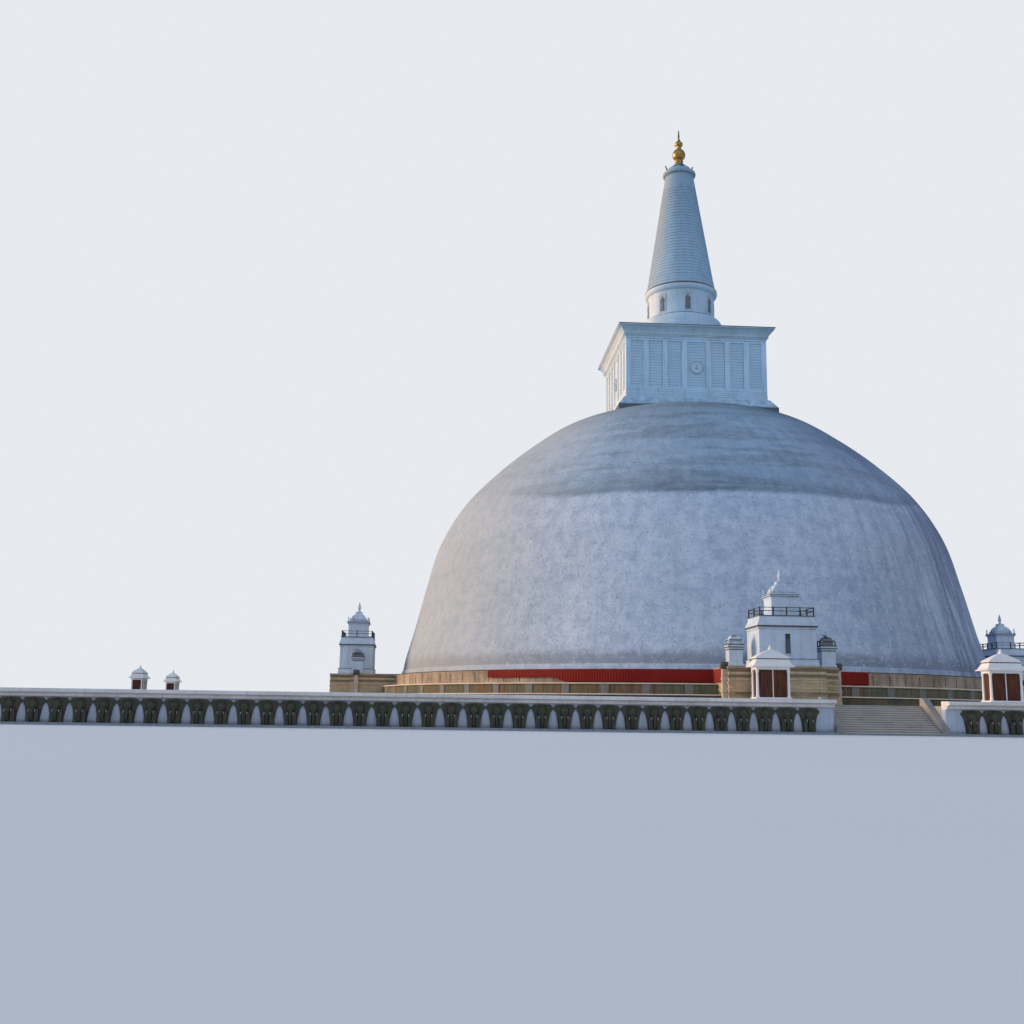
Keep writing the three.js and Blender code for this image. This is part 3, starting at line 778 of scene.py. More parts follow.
def slab_paving(stone):
    """Square slabs of sandstone, each of its own tone, swept but stained."""
    net = Finish("slab_paving", 0.9)
    slabs = net.node(
        "ShaderNodeTexBrick", {"offset": 0.5}, Vector=net.place, Scale=1.0, Mortar_Size=0.0018,
        Mortar_Smooth=0.3, Brick_Width=0.09, Row_Height=0.06, Bias=0.0,
        Color1=(0.85, 0.85, 0.85, 1.0), Color2=(1.0, 1.0, 1.0, 1.0), Mortar=(0.35, 0.33, 0.30, 1.0),
    )
    base = net.mix(net.patches(1.4, 0.45, 0.2) * 0.5, stone.paving, scaled(stone.paving, 0.62))
    toned = net.mix(1.0, base, net.out(slabs, "Color"), "MULTIPLY")
    return net.done(toned, net.grain(0.02)[0] - net.out(slabs, "Fac"), 0.002, 0.8)


def step_stone(stone):
    """Granite steps: pale where feet wear the treads and their edges, the pale edges also painted
    highlight on the nosings, darker on the risers.
    """
    net = Finish("step_stone", 0.9)
    surface = net.mix(net.patches(0.12, 0.45, 0.12) * 0.6, stone.steps, scaled(stone.steps, 0.6))
    across = net.math("MINIMUM", net.math("ABSOLUTE", net.x), net.math("ABSOLUTE", net.y))
    flight = 1.0 - net.step(across, STAIR_HALF, STAIR_HALF + 0.004)
    turns = net.math("FRACT", net.z / STAIR_RISE)
    # Pale bands round each tread level: foot wear, and painted highlight on the nosings
    worn = 1.0 - net.step(net.math("PINGPONG", turns, 0.5), 0.10, 0.22)
    surface = net.mix(flight * worn * 0.8, surface, scaled(stone.steps, 1.9))
    lumps, pits = net.grain(0.02)
    return net.done(net.mix(pits * 0.25, surface, SOOT), lumps, 0.003, 0.6)


def painted(name, base, wear, roughness=0.9, size=0.05):
    """Paint or limewash with scuffs and dust."""
    net = Finish(name, roughness)
    worn = net.patches(size, 0.42, 0.08) * 0.35 + net.streaks(size / 2, size * 4, 0.45) * 0.25
    lumps = net.grain(size / 3)[0]
    net.feed(net.shader["Roughness"], lumps * 0.25 + (roughness - 0.12))
    return net.done(net.mix(worn, base, wear), lumps, size / 20, 0.5)


def shutter_wood():
    """Brown oiled boards with upright grain."""
    net = Finish("shutter_wood", 0.6)
    stretched = net.vector("MULTIPLY", net.place, (60.0, 60.0, 5.0))
    fibres = net.noise(stretched, 1.0, 5.0, 0.6)
    surface = net.mix(net.step(fibres, 0.35, 0.68), (0.060, 0.018, 0.009), (0.15, 0.050, 0.022))
    return net.done(surface, fibres, 0.002, 0.6)


def gilt_metal(spire):
    """Gilding with tarnish in level bands and soft dents."""
    net = Finish("gilt", 0.40, 1.0, 0.5)
    dull = net.courses(0.030, 0.25, 0.004) * 0.5 + net.patches(0.07, 0.42, 0.12) * 0.45
    net.feed(net.shader["Roughness"], dull * 0.25 + 0.40)
    return net.done(net.mix(dull, spire.gilt, (0.30, 0.16, 0.04)), net.grain(0.03)[0], 0.002, 0.5)


def red_cotton(cloth):
    """Red cotton: plain weave in the cloth's own map, sun-faded patches and a soft sheen."""
    net = Finish("red_cotton", 0.85)
    net.shader["Sheen Weight"].default_value = 0.10
    net.shader["Sheen Roughness"].default_value = 0.5
    own = net.out(net.node("ShaderNodeUVMap", {"uv_map": "cloth"}))
    warp, weft = (
        net.out(net.node(
            "ShaderNodeTexWave", {"bands_direction": axis}, Vector=own, Scale=140.0, Distortion=0.4
        ), "Fac") for axis in "XY"
    )
    weave = warp * weft
    tone = net.patches(0.5, 0.45, 0.15) * 0.45 + weave * 0.2
    pale = [min(1.0, part * 1.4 + 0.01) for part in cloth.red]
    return net.done(net.mix(tone, cloth.red, pale), weave, 0.0006, 0.5)


def floor_finish(base):
    """Plain matt surface with the faintest unevenness."""
    net = Finish("floor_finish", 0.95, 0.0, 0.1)
    cloud = net.noise(net.place, 0.4, 2.0)
    net.feed(net.shader["Base Color"], net.mix(cloud, base, scaled(base, 0.97)))
    return net.material


def plinth_plaster(plaster):
    """Weathered sides like the dome's, and a clean apron over them."""
    net = Finish("plinth_plaster")
    low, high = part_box("chamber_plinth")
    edge = low.z + PLINTH_EDGE_SHARE * (high.z - low.z)
    darker = scaled(plaster.dome_dark, 0.6)
    mottle = net.patches(0.12, 0.5, 0.15)
    sides = net.mix(mottle * 0.6, plaster.dome_dark, darker)
    apron = net.mix(mottle * 0.80, plaster.drum, plaster.dome_upper)
    surface = net.mix(net.step(net.z, edge, edge + 0.006), sides, apron)
    ledge = 1.0 - net.step(net.math("ABSOLUTE", net.z - edge), 0.016, 0.030)
    ledge = ledge * (net.patches(0.45, 0.45, 0.08) * 0.45 + 0.45)
    return net.done(net.mix(ledge, surface, darker), net.grain(0.03)[0], 0.006, 0.6)


def spire_plaster(plaster):
    """Whitewash that has weathered darker up the spire, with painted warm sunlight on its far left.
    """
    net = Finish("spire_plaster")
    low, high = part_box("spire")
    tone = net.step(net.z, low.z, high.z) * 0.45 + net.patches(0.10, 0.46, 0.15) * 0.25
    tone = tone + net.streaks(0.035, 0.8, 0.45, 0.45) * 0.15
    surface = net.mix(tone, plaster.spire, scaled(plaster.spire, 0.60))
    # Painted warm sunlight on the far left
    east = net.apart(net.outward())[0]
    surface = net.mix(net.step(east, -0.60, -0.98) * 0.5, surface, (0.46, 0.42, 0.40))
    lumps, pits = net.grain(0.02)
    return net.done(net.mix(pits * 0.12, surface, plaster.moss_and_shade), lumps, 0.005, 0.6)


def plaster_of(name):
    """A plaster that several pieces share, made once."""
    if name in bpy.data.materials:
        return bpy.data.materials[name]
    plaster = bpy.context.scene.stupa_plaster
    worn, moss_and_shade = plaster.worn_and_shade_white, plaster.moss_and_shade
    if name == "spire_plaster":
        return spire_plaster(plaster)
    if name == "ledge_growth":
        return painted(name, moss_and_shade, scaled(moss_and_shade, 2.6), 0.9, 0.06)
    half_grown = [0.5 * (tone + dark) for tone, dark in zip(worn, moss_and_shade)]
    # Clean, worn and growth colours, size of the wear, foot, height of the painted shade, and
    # distance of the painted sunlight
    kinds = {
        "tower_plaster": (plaster.white, worn, moss_and_shade, 0.6),
        "chamber_plaster": (plaster.chamber, worn, moss_and_shade, 0.6, None, None, 0.01),
        # The rails in the recessed panels are darker as painted shade
        "rail_plaster": (
            scaled(plaster.chamber, 0.88), scaled(plaster.chamber, 0.70), worn, 0.4,
            None, None, 0.01,
        ),
        "upper_plaster": (plaster.drum, scaled(plaster.drum, 0.70), moss_and_shade, 0.4, None, None, 0.30),
        # Worn whitewash; on the panel cores and niche backs it is painted shade, on the roundel
        # rims their own tone
        "sheltered_plaster": (worn, scaled(worn, 0.72), moss_and_shade, 0.4),
        "weathered_white": (plaster.white, half_grown, moss_and_shade, 0.12),
        "grown_plaster": (scaled(worn, 0.60), moss_and_shade, moss_and_shade, 0.12),
        "gate_plaster": (plaster.gate, scaled(plaster.gate, 0.8), worn, 0.25),
        # Dark whitewash of the niche figures, as painted shade in the niches
        "dark_plaster": (scaled(worn, 0.42), moss_and_shade, moss_and_shade, 0.3),
    }
    return whitewash(name, *kinds[name])


# Pieces

class StupaPiece:
    """What every operator here shares."""

    bl_options = {"REGISTER", "UNDO"}


class STUPA_OT_stage(StupaPiece, bpy.types.Operator):
    """Make the floor, the background, the lights and the photograph's camera"""

    bl_idname = "stupa.stage"
    bl_label = "Stage"

    FLOOR_DEPTH = -0.001
    FLOOR_REACH = 400.0

    def execute(self, context):
        settings = context.scene.stupa_stage
        self.floor(context, settings)
        self.background(context, settings)
        self.lights(context, settings)
        self.camera(context)
        return {"FINISHED"}

    def floor(self, context, settings):
        """Plain floor, wide enough to reach the horizon."""
        part = bmesh.new()
        bmesh.ops.create_grid(part, x_segments=8, y_segments=8, size=self.FLOOR_REACH)
        bmesh.ops.translate(part, verts=part.verts, vec=(0, 0, self.FLOOR_DEPTH))
        mesh = bpy.data.meshes.new("floor")
        part.to_mesh(mesh)
        part.free()
        mesh.materials.append(floor_finish(list(settings.floor_colour)))
        floor = bpy.data.objects.new("floor", mesh)
        context.scene.collection.objects.link(floor)

    def background(self, context, settings):
        """Pale to the camera, and a blue fill to everything else."""
        world = bpy.data.worlds.new("soft_sky")
        context.scene.world = world
        world.use_nodes = True
        world.node_tree.nodes.clear()
        net = Net(world.node_tree)
        lit, seen = (
            net.out(net.node("ShaderNodeBackground", Color=(*tones, 1.0), Strength=power))
            for tones, power in (
                (settings.fill_colour, settings.fill_strength), (settings.background, 1.0)
            )
        )
        ray = net.out(net.node("ShaderNodeLightPath"), "Is Camera Ray")
        chosen = net.fed(net.node("ShaderNodeMixShader"), (ray, lit, seen))
        net.node("ShaderNodeOutputWorld", Surface=chosen)

    def lights(self, context, settings):
        """Low warm light from the left, and weak ones from the right and the front."""
        lamps = (
            (
                "key_light", settings.key_strength, settings.key_colour, 22.0,
                (0.947, -0.288, -0.144),
            ),
            ("side_light", 0.50, (0.62, 0.76, 1.0), 110.0, (0.70, 0.62, -0.34)),
            ("front_light", 0.35, (1.0, 0.55, 0.15), 60.0, (-0.1, 0.85, -0.5)),
        )
        for name, power, tint, angle, direction in lamps:
            data = bpy.data.lights.new(name, "SUN")
            data.energy = power
            data.color = tint
            data.angle = math.radians(angle)
            lamp = bpy.data.objects.new(name, data)
            lamp.rotation_euler = Vector(direction).to_track_quat("-Z", "Y").to_euler()
            context.scene.collection.objects.link(lamp)
        context.scene.view_settings.view_transform = "Standard"

    def camera(self, context):
        """Camera as the photograph was taken."""
        ahead = Vector((math.sin(CAMERA_YAW), math.cos(CAMERA_YAW), 0.0))
        across = Vector((math.cos(CAMERA_YAW), -math.sin(CAMERA_YAW), 0.0))
        up = Vector((0.0, 0.0, 1.0))
        forward = ahead * math.cos(CAMERA_PITCH) + up * math.sin(CAMERA_PITCH)
        raised = up * math.cos(CAMERA_PITCH) - ahead * math.sin(CAMERA_PITCH)
        right = across * math.cos(CAMERA_ROLL) + raised * math.sin(CAMERA_ROLL)
        top = raised * math.cos(CAMERA_ROLL) - across * math.sin(CAMERA_ROLL)
        data = bpy.data.cameras.new("camera")
        data.sensor_fit = "HORIZONTAL"
        data.sensor_width = CAMERA_SENSOR
        data.lens = CAMERA_LENS
        data.clip_end = 1000.0
        camera = bpy.data.objects.new("camera", data)
        camera.matrix_world = (
            at(*CAMERA_PLACE) @ Matrix((right, top, -forward)).transposed().to_4x4()
        )
        context.scene.collection.objects.link(camera)
        context.scene.camera = camera


def dome_outline(steps=10):
    """Points up the dome, on a smooth line through its measured reaches."""
    last = len(DOME_REACHES) - 1
    points = []
    for place in range(last * steps + 1):
        index = min(place // steps, last - 1)
        share = (place - index * steps) / steps
        before, first, second, after = (
            DOME_REACHES[min(max(index + shift, 0), last)] for shift in (-1, 0, 1, 2)
        )
        reach = first + 0.5 * share * (
            second - before
            + share * (2 * before - 5 * first + 4 * second - after
                       + share * (3 * (first - second) + after - before))
        )
        angle = (index + share) * DOME_STEP
        points.append((reach * math.cos(angle), DOME_CENTRE + reach * math.sin(angle)))
    return points


class STUPA_OT_dome(StupaPiece, bpy.types.Operator):
    """Make the plastered dome with its rim"""

    bl_idname = "stupa.dome"
    bl_label = "Dome"

    def execute(self, context):
        plaster = context.scene.stupa_plaster
        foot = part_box("dome")[0].z
        outline = dome_outline()
        start = outline[0][0]
        proud = start + DOME_RIM_PROUD
        lip = [
            (start, foot), (proud, foot), (proud, DOME_RIM_TOP - 0.012),
            (start + DOME_RIM_PROUD * 0.6, DOME_RIM_TOP), (start - 0.008, DOME_RIM_TOP + 0.004),
        ]
        above = [point for point in outline if point[1] > DOME_RIM_TOP + 0.02]
        piece(
            "dome_shell", turned(lip + above, 192), dome_plaster(plaster),
            ["dome"], 30,
        )
        dress(["chamber_plinth"], plinth_plaster(plaster))
        return {"FINISHED"}


class STUPA_OT_basal_terraces(StupaPiece, bpy.types.Operator):
    """Make the three round terraces under the dome, with mouldings, posts and slots"""

    bl_idname = "stupa.basal_terraces"
    bl_label = "Basal terraces"

    POST_PITCH = math.radians(6.05)
    FIRST_POST = math.radians(-8.60)
    SLOT_PITCH = math.radians(3.1)
    INNER = DOME_REACHES[0] - 0.05
    LEDGE = 0.012
    STEPS = 192

    def execute(self, context):
        stone = context.scene.stupa_stone
        growth = plaster_of("ledge_growth")
        # The pale lips are partly painted sunlight on the ledge tops
        pale = painted("pale_lip", stone.lip, scaled(stone.lip, 0.6), 0.9, 0.10)
        finishes = {
            "lower": (
                weathered_stone("lower_stone", stone.basal, stone.basal_ochre, 0.033, 0.16), pale
            ),
            "middle": (panel_stone(stone, self.POST_PITCH, self.FIRST_POST), pale),
            "upper": (
                weathered_stone("upper_stone", stone.upper, stone.upper_dark, 0.029, 0.11), growth
            ),
        }
        for name, (finish, _) in finishes.items():
            self.wall(name, finish)
        for name, (_, finish) in finishes.items():
            self.lip(name, finish)
        self.posts()
        self.slots(growth)
        return {"FINISHED"}

    def size(self, name):
        """Radius of the wall under the ledge, its foot and its top.

        The ledge is notched on the axes, so the node's corners give the radius.
        """
        low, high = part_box(f"basal_terrace_{name}")
        return farthest(f"basal_terrace_{name}") - self.LEDGE, low.z, high.z

    def wall(self, name, finish):
        """Wall of one terrace, with its mouldings."""
        radius, foot, top = self.size(name)
        mouldings = [(0.006, 0.0), (0.006, 0.08), (0.0, 0.11), (0.0, 0.76), (0.004, 0.79)]
        outline = [
            (self.INNER, foot), *shifted(mouldings, radius, foot, top - foot),
            *shifted([(0.004, -0.024), (0.010, -0.020), (0.010, -0.001)], radius, top),
            (self.INNER, top - 0.001),
        ]
        part = ring(outline, self.STEPS)
        piece(f"basal_{name}_ring", part, finish, [f"basal_terrace_{name}"])

    def lip(self, name, finish):
        """Lip of one terrace's ledge."""
        radius, _, top = self.size(name)
        edge = [(-0.030, -0.012), (0.0, -0.012), (0.0, -0.003), (-0.003, 0.0), (-0.030, 0.0)]
        part = ring(shifted(edge, radius + self.LEDGE, top), self.STEPS)
        piece(f"basal_{name}_lip", part, finish)

    def posts(self):
        """Grey plastered posts between the panels of the middle terrace."""
        radius, foot, top = self.size("middle")
        rise = top - 0.020 - foot
        one = bar(0, 0.048, (-0.007, 0.004), (0.0, rise), 0.002)
        for low, high in ((0.0, 0.012), (rise - 0.014, rise)):
            put(one, bar(0, 0.051, (-0.010, 0.004), (low, high), 0.002))
        number = round(2 * math.pi / self.POST_PITCH)
        part = copies(one, *round_places(number, radius, foot, self.FIRST_POST))
        finish = painted("post_plaster", (0.27, 0.26, 0.23), (0.17, 0.16, 0.13), 0.9, 0.10)
        piece("basal_posts", part, finish)

    def slots(self, finish):
        """Thin dark upright strips for the recesses between the pilasters of the upper terrace;
        their dark is painted shade.
        """
        radius, foot, top = self.size("upper")
        one = bar(0, 0.006, (-0.0008, 0.006), (foot + 0.020, top - 0.030))
        number = round(2 * math.pi / self.SLOT_PITCH)
        piece("basal_slots", copies(one, *round_places(number, radius)), finish)


class STUPA_OT_terrace(StupaPiece, bpy.types.Operator):
    """Finish the paved terrace and the four stairs"""

    bl_idname = "stupa.terrace"
    bl_label = "Terrace and stairs"

    def execute(self, context):
        stone = context.scene.stupa_stone
        dress(["terrace"], slab_paving(stone))
        dress([f"stairs_{side}" for side in SIDES], step_stone(stone))
        return {"FINISHED"}


def elephant_height(share):
    """Height at a share of an elephant's own."""
    return ELEPHANT_FOOT + share * ELEPHANT_RISE


def elephant():
    """Front of one elephant against the wall: ears, head, trunk and forelegs."""
    # Half of the outline: distance from the middle, and share of the height
    half = [
        (0.0, 0.0), (0.0535, 0.0), (0.057, 0.25), (0.0635, 0.44), (0.0735, 0.66), (0.086, 0.77),
        (0.0965, 0.82), (0.0965, 0.86), (0.086, 0.915), (0.074, 0.985), (0.0, 1.0),
    ]
    right = [(across, elephant_height(share)) for across, share in half]
    left = [(-across, height) for across, height in right[-2:0:-1]]
    part = plate(right + left, 0.018)
    head = bmesh.new()
    bmesh.ops.create_cone(
        head, cap_ends=True, segments=6, radius1=0.052, radius2=0.030, depth=0.036
    )
    bmesh.ops.rotate(
        head, verts=head.verts, cent=(0, 0, 0), matrix=Matrix.Rotation(QUARTER, 3, "X")
    )
    bmesh.ops.scale(head, verts=head.verts, vec=(0.94, 1.0, 1.12))
    put(part, head, at(0, -0.034, elephant_height(0.72)))
    trunk = [(0.052, 0.66, 0.018), (0.060, 0.34, 0.012), (0.052, 0.08, 0.008)]
    for (out, share, thick), (next_out, next_share, thin) in zip(trunk, trunk[1:]):
        start, end = (0, -out, elephant_height(share)), (0, -next_out, elephant_height(next_share))
        put(part, tapered(start, end, thick, thin, 5))
    for x in (-0.035, 0.035):
        put(part, bar(x, 0.0165, (-0.044, -0.010), (elephant_height(0), elephant_height(0.52))))
    return part


def tusks():
    """The two pale tusks of one elephant."""
    root, tip = elephant_height(0.52), elephant_height(0.42)
    return joined(*[
        tapered((side * 0.024, -0.048, root), (side * 0.028, -0.064, tip), 0.0042, 0.0022, 4)
        for side in (-1, 1)
    ])


class STUPA_OT_elephant_wall(StupaPiece, bpy.types.Operator):
    """Make the wall of elephants round the terrace"""

    bl_idname = "stupa.elephant_wall"
    bl_label = "Elephant wall"

    def execute(self, context):
        stone = context.scene.stupa_stone
        # The wall is bluer below the elephants' heads as painted shade under the coping
        wall = whitewash(
            "wall_plaster", stone.coping, scaled(stone.coping, 0.62),
            context.scene.stupa_plaster.moss_and_shade, 0.35, 0.06, elephant_height(1),
        )
        dress([f"elephant_wall_{side}" for side in SIDES], wall)
        dark = painted("elephant_paint", stone.elephant, scaled(stone.elephant, 1.7), 0.6, 0.05)
        pale = painted("tusk_paint", (0.50, 0.47, 0.42), (0.28, 0.26, 0.23), 0.6, 0.02)
        places = []
        across = stone.first_elephant
        while across < WALL_FACE - 0.4 * stone.elephant_pitch:
            places += [at(across, -WALL_FACE), at(-across, -WALL_FACE)]
            across += stone.elephant_pitch
        for side, turn in zip(SIDES, TURNS):
            for name, one, finish in (("elephants", elephant, dark), ("tusks", tusks, pale)):
                part = copies(one(), *[turn @ place for place in places])
                piece(f"{name}_{side}", part, finish, sharp=50)
        return {"FINISHED"}


class STUPA_OT_chamber(StupaPiece, bpy.types.Operator):
    """Make the square chamber with panels, pilasters, roundels and cornice"""

    bl_idname = "stupa.chamber"
    bl_label = "Chamber"

    # Pilasters: how far from the middle. Panels: their middle and half their width
    EDGES = (0.195, 0.502, 0.809, 1.094)
    PANELS = ((-0.9515, 0.105), (-0.6555, 0.105), (-0.3485, 0.105), (0.0, 0.149),
              (0.3485, 0.105), (0.6555, 0.105), (0.9515, 0.105))
    PANEL_DEPTH = 0.030
    RAILS = 17
    DADO_TOP = 5.265
    DADO_BANDS = 5
    FRIEZE_FOOT = 6.035
    ROUNDEL_DEPTH = 0.016
    ROUNDEL_HEIGHT = 5.61
    ROUNDEL_SCALE = 0.88

    def execute(self, context):
        low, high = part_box("chamber_body")
        self.outside = high.y
        face = high.y - self.PANEL_DEPTH
        core = squared([(face, low.z + 0.01), (face, high.z - 0.01)])
        # The panel core, showing as thin slots between the rails, is darker as painted shade
        piece("chamber_panels", core, plaster_of("sheltered_plaster"), replaces=["chamber_body"])
        walls = joined(self.dado(low.z), self.frieze(high.z))
        put(walls, self.pilasters(), *TURNS)
        piece("chamber_frame", walls, plaster_of("chamber_plaster"))
        piece("chamber_rails", copies(self.rails(face), *TURNS), plaster_of("rail_plaster"))
        disc, edge = self.roundel()
        piece("chamber_roundels", copies(disc, *TURNS), plaster_of("chamber_plaster"))
        piece("chamber_roundel_rims", copies(edge, *TURNS), plaster_of("sheltered_plaster"))
        self.cornice()
        return {"FINISHED"}

    def dado(self, foot):
        """Stepped foot with level bands, as a ring round the panels."""
        rise = (self.DADO_TOP - foot) / self.DADO_BANDS
        outline = [(self.outside - 0.05, foot)]
        for band in range(self.DADO_BANDS):
            steps = [(0.0, 0.0), (0.0, 0.80), (-0.010, 0.83), (-0.010, 1.0)]
            outline += shifted(steps, self.outside - 0.001 * band, foot + band * rise, rise)
        outline.append((self.outside - 0.05, self.DADO_TOP - 0.001))
        return squared(outline, hollow=True)

    def frieze(self, top):
        """Two level bands under the cornice."""
        bands = [(-0.05, -0.002), (-0.005, -0.002), (-0.005, 0.022), (-0.014, 0.026),
                 (-0.014, 0.032), (0.0, 0.036)]
        outline = shifted(bands, self.outside, self.FRIEZE_FOOT)
        return squared([*outline, (self.outside, top), (self.outside - 0.05, top)], hollow=True)

    def pilasters(self):
        """Wide pilasters of one side, each with a raised strip down its middle."""
        part = bmesh.new()
        heights = self.DADO_TOP - 0.012, self.FRIEZE_FOOT + 0.012
        front, back = -self.outside, -self.outside + 0.03
        for edge in self.EDGES:
            half = 0.041 if edge == self.EDGES[-1] else 0.044
            for x in (-edge, edge):
                put(part, bar(x, half, (front + 0.006, back), heights, 0.002))
                put(part, bar(x, 0.016, (front, back), heights, 0.003))
        return part

    def rails(self, face):
        """Level boards of plaster that fill the panels, with thin dark slots between, where the
        darker panel core is painted shade.
        """
        part = bmesh.new()
        pitch = (self.FRIEZE_FOOT - self.DADO_TOP) / self.RAILS
        for centre, half in self.PANELS:
            for rail in range(self.RAILS):
                z = self.DADO_TOP + (rail + 0.5) * pitch
                heights = z - 0.45 * pitch, z + 0.45 * pitch
                put(part, bar(centre, half, (-face - 0.006, -face + 0.02), heights, 0.002))
        return part

    def roundel(self):
        """Disc with a groove, and the weathered rim and boss on it."""
        edge = ring([(0.100, -0.012), (0.118, -0.012), (0.118, 0.015), (0.112, 0.020),
                     (0.104, 0.020), (0.100, 0.013)], 40)
        disc = turned([(0.104, -0.012), (0.104, 0.009), (0.066, 0.009), (0.064, 0.0035),
                       (0.056, 0.0035), (0.054, 0.011), (0.0395, 0.011)], 40)
        boss = turned([(0.018, 0.0), (0.018, 0.018), (0.010, 0.022)], 20)
        bmesh.ops.scale(boss, verts=boss.verts, vec=(1.3, 2.6, 1.0))
        put(edge, boss)
        place = at(0, self.ROUNDEL_DEPTH - self.outside, self.ROUNDEL_HEIGHT)
        place = place @ Matrix.Rotation(QUARTER, 4, "X")
        place = place @ Matrix.Diagonal((self.ROUNDEL_SCALE, self.ROUNDEL_SCALE, 1.0, 1.0))
        return copies(disc, place), copies(edge, place)

    def cornice(self):
        """Flare of fillets up to an upright edge, with growth along its lip."""
        low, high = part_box("chamber_cornice")
        fillets = [
            (0.0, 0.0), (0.0, 0.07), (0.013, 0.09), (0.013, 0.16), (0.009, 0.18), (0.024, 0.20),
            (0.024, 0.25), (0.019, 0.28), (0.029, 0.40), (0.042, 0.49), (0.038, 0.51),
            (0.056, 0.60), (0.052, 0.63), (0.078, 0.74), (0.074, 0.77),
        ]
        rise = high.z - low.z
        outline = [
            *shifted(fillets, high.x * 0.909, low.z, rise), (high.x - 0.006, low.z + 0.86 * rise),
            (high.x - 0.004, high.z - 0.012), (high.x - 0.02, high.z - 0.006),
        ]
        piece(
            "cornice_flare", squared(outline), plaster_of("upper_plaster"),
            replaces=["chamber_cornice"],
        )
        edge = [(-0.03, -0.010), (0.0, -0.010), (0.0, -0.002), (-0.003, 0.0), (-0.03, 0.0)]
        piece(
            "cornice_lip", squared(shifted(edge, high.x, high.z), hollow=True),
            plaster_of("ledge_growth"),
        )


# Outline of one ring: share of its height, and the depth of its groove there. On the spire the
# depth is a share of the groove, and on the drum it is in metres.
RING_PROFILE = ((0.0, 1.0), (0.16, 1.0), (0.24, 0.1), (0.55, 0.0), (0.90, 0.15))
DRUM_RING_PROFILE = ((0.0, 0.008), (0.16, 0.008), (0.24, 0.001), (0.60, 0.0), (0.90, 0.001))


class STUPA_OT_drum(StupaPiece, bpy.types.Operator):
    """Make the flared base, the drum with its niches and the ring over it"""

    bl_idname = "stupa.drum"
    bl_label = "Drum"

    STEPS = 96
    NICHES = 8
    NICHE_STRETCH = 1.35
    UPPER_RINGS = 3

    def execute(self, context):
        white = plaster_of("upper_plaster")
        low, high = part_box("drum_base")
        flare = [
            (0.075, high.x), (0.090, 0.784), (0.096, 0.780), (0.156, 0.780), (0.170, 0.738),
            (0.176, 0.735), (0.246, 0.735), (0.276, 0.694), (0.284, 0.692), (0.335, 0.692),
        ]
        base = [
            (high.x, low.z), *[(reach, low.z + rise) for rise, reach in flare],
            *arc(0.572, high.z - 0.150, 0.120, 0.148, 18, 80, 8), (0.590, high.z),
        ]
        piece("drum_flare", turned(base, self.STEPS), white, replaces=["drum_base"])
        low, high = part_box("drum")
        radius = high.x - 0.012
        shell = [
            (high.x, low.z), (high.x, low.z + 0.018), (radius + 0.003, low.z + 0.026),
            (radius, low.z + 0.032), (radius, high.z),
        ]
        piece("drum_shell", turned(shell, self.STEPS), white, replaces=["drum"])
        seam = [
            (radius, low.z - 0.006),
            *shifted([(0.022, -0.006), (0.022, 0.006), (0.004, 0.014)], high.x, low.z),
            (radius, low.z + 0.014),
        ]
        piece("drum_foot_growth", ring(seam, self.STEPS), plaster_of("ledge_growth"))
        self.niches(low.z + 0.03, high.z, radius)
        self.upper_ring(white)
        return {"FINISHED"}

    def niches(self, foot, top, radius):
        """Shallow arched niches, each with a plain robed figure."""
        spring = 0.74 * (top - foot)
        surround = bar(0, 0.052, (-0.007, 0.02), (0.012, 0.030), 0.003)
        for x in (-0.041, 0.041):
            put(surround, bar(x, 0.006, (-0.006, 0.02), (0.02, spring), 0.002))
        arch = ring([(0.035, -0.02), (0.047, -0.02), (0.047, 0.006), (0.035, 0.006)], 24)
        put(surround, arch, at(0, 0, spring) @ Matrix.Rotation(QUARTER, 4, "X"))
        back = plate(
            [(0.036, 0.028), *arc(0.0, spring, 0.036, 0.036, 0, 180, 10), (-0.036, 0.028)], 0.003
        )
        robe = turned([(0.031, 0.030), (0.035, 0.060), (0.028, 0.140), (0.034, 0.200),
                       (0.034, 0.228), (0.013, 0.250)], 14)
        bmesh.ops.scale(robe, verts=robe.verts, vec=(1.0, 0.45, 1.0))
        figure = copies(robe, at(0, -0.004))
        head = bmesh.new()
        bmesh.ops.create_icosphere(head, subdivisions=2, radius=0.0145)
        put(figure, head, at(0, -0.004, 0.264))
        wider = Matrix.Diagonal((self.NICHE_STRETCH, 1.0, 1.0, 1.0))
        places = [
            place @ wider for place in round_places(self.NICHES, radius, foot + 0.010, share=0)
        ]
        # Niche backs and figures are darkened as painted shade in the niches
        for name, one, finish in (
            ("drum_niche_frames", surround, "upper_plaster"),
            ("drum_niche_backs", back, "sheltered_plaster"),
            ("drum_figures", figure, "dark_plaster"),
        ):
            piece(name, copies(one, *places), plaster_of(finish))

    def upper_ring(self, white):
        """Roll round the head of the drum, the first rings over it and the growth between."""
        low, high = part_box("drum_ring")
        roll = [
            (high.x - 0.044, low.z), (high.x - 0.018, low.z + 0.012),
            *arc(high.x - 0.024, low.z + 0.056, 0.024, 0.040, -65, 60, 10),
            *shifted([(-0.013, 0.096), (-0.030, 0.106), (-0.045, 0.110)], high.x, low.z),
        ]
        piece("drum_ring_roll", turned(roll, self.STEPS), white, replaces=["drum_ring"])
        foot = low.z + 0.108
        pitch = (high.z - foot) / self.UPPER_RINGS
        rings = []
        for band in range(self.UPPER_RINGS):
            for rise, depth in DRUM_RING_PROFILE:
                share = (band + rise) / self.UPPER_RINGS
                rings.append((high.x - 0.031 - 0.023 * share - depth, foot + (band + rise) * pitch))
        rings.append((high.x - 0.054, high.z))
        piece("drum_ring_rings", turned(rings, self.STEPS), plaster_of("spire_plaster"))
        growth = [(-0.040, 0.082), (-0.002, 0.082), (-0.004, 0.092), (-0.012, 0.101),
                  (-0.028, 0.110), (-0.040, 0.110)]
        growth = ring(shifted(growth, high.x, low.z), self.STEPS)
        piece("drum_ring_growth", growth, plaster_of("ledge_growth"))


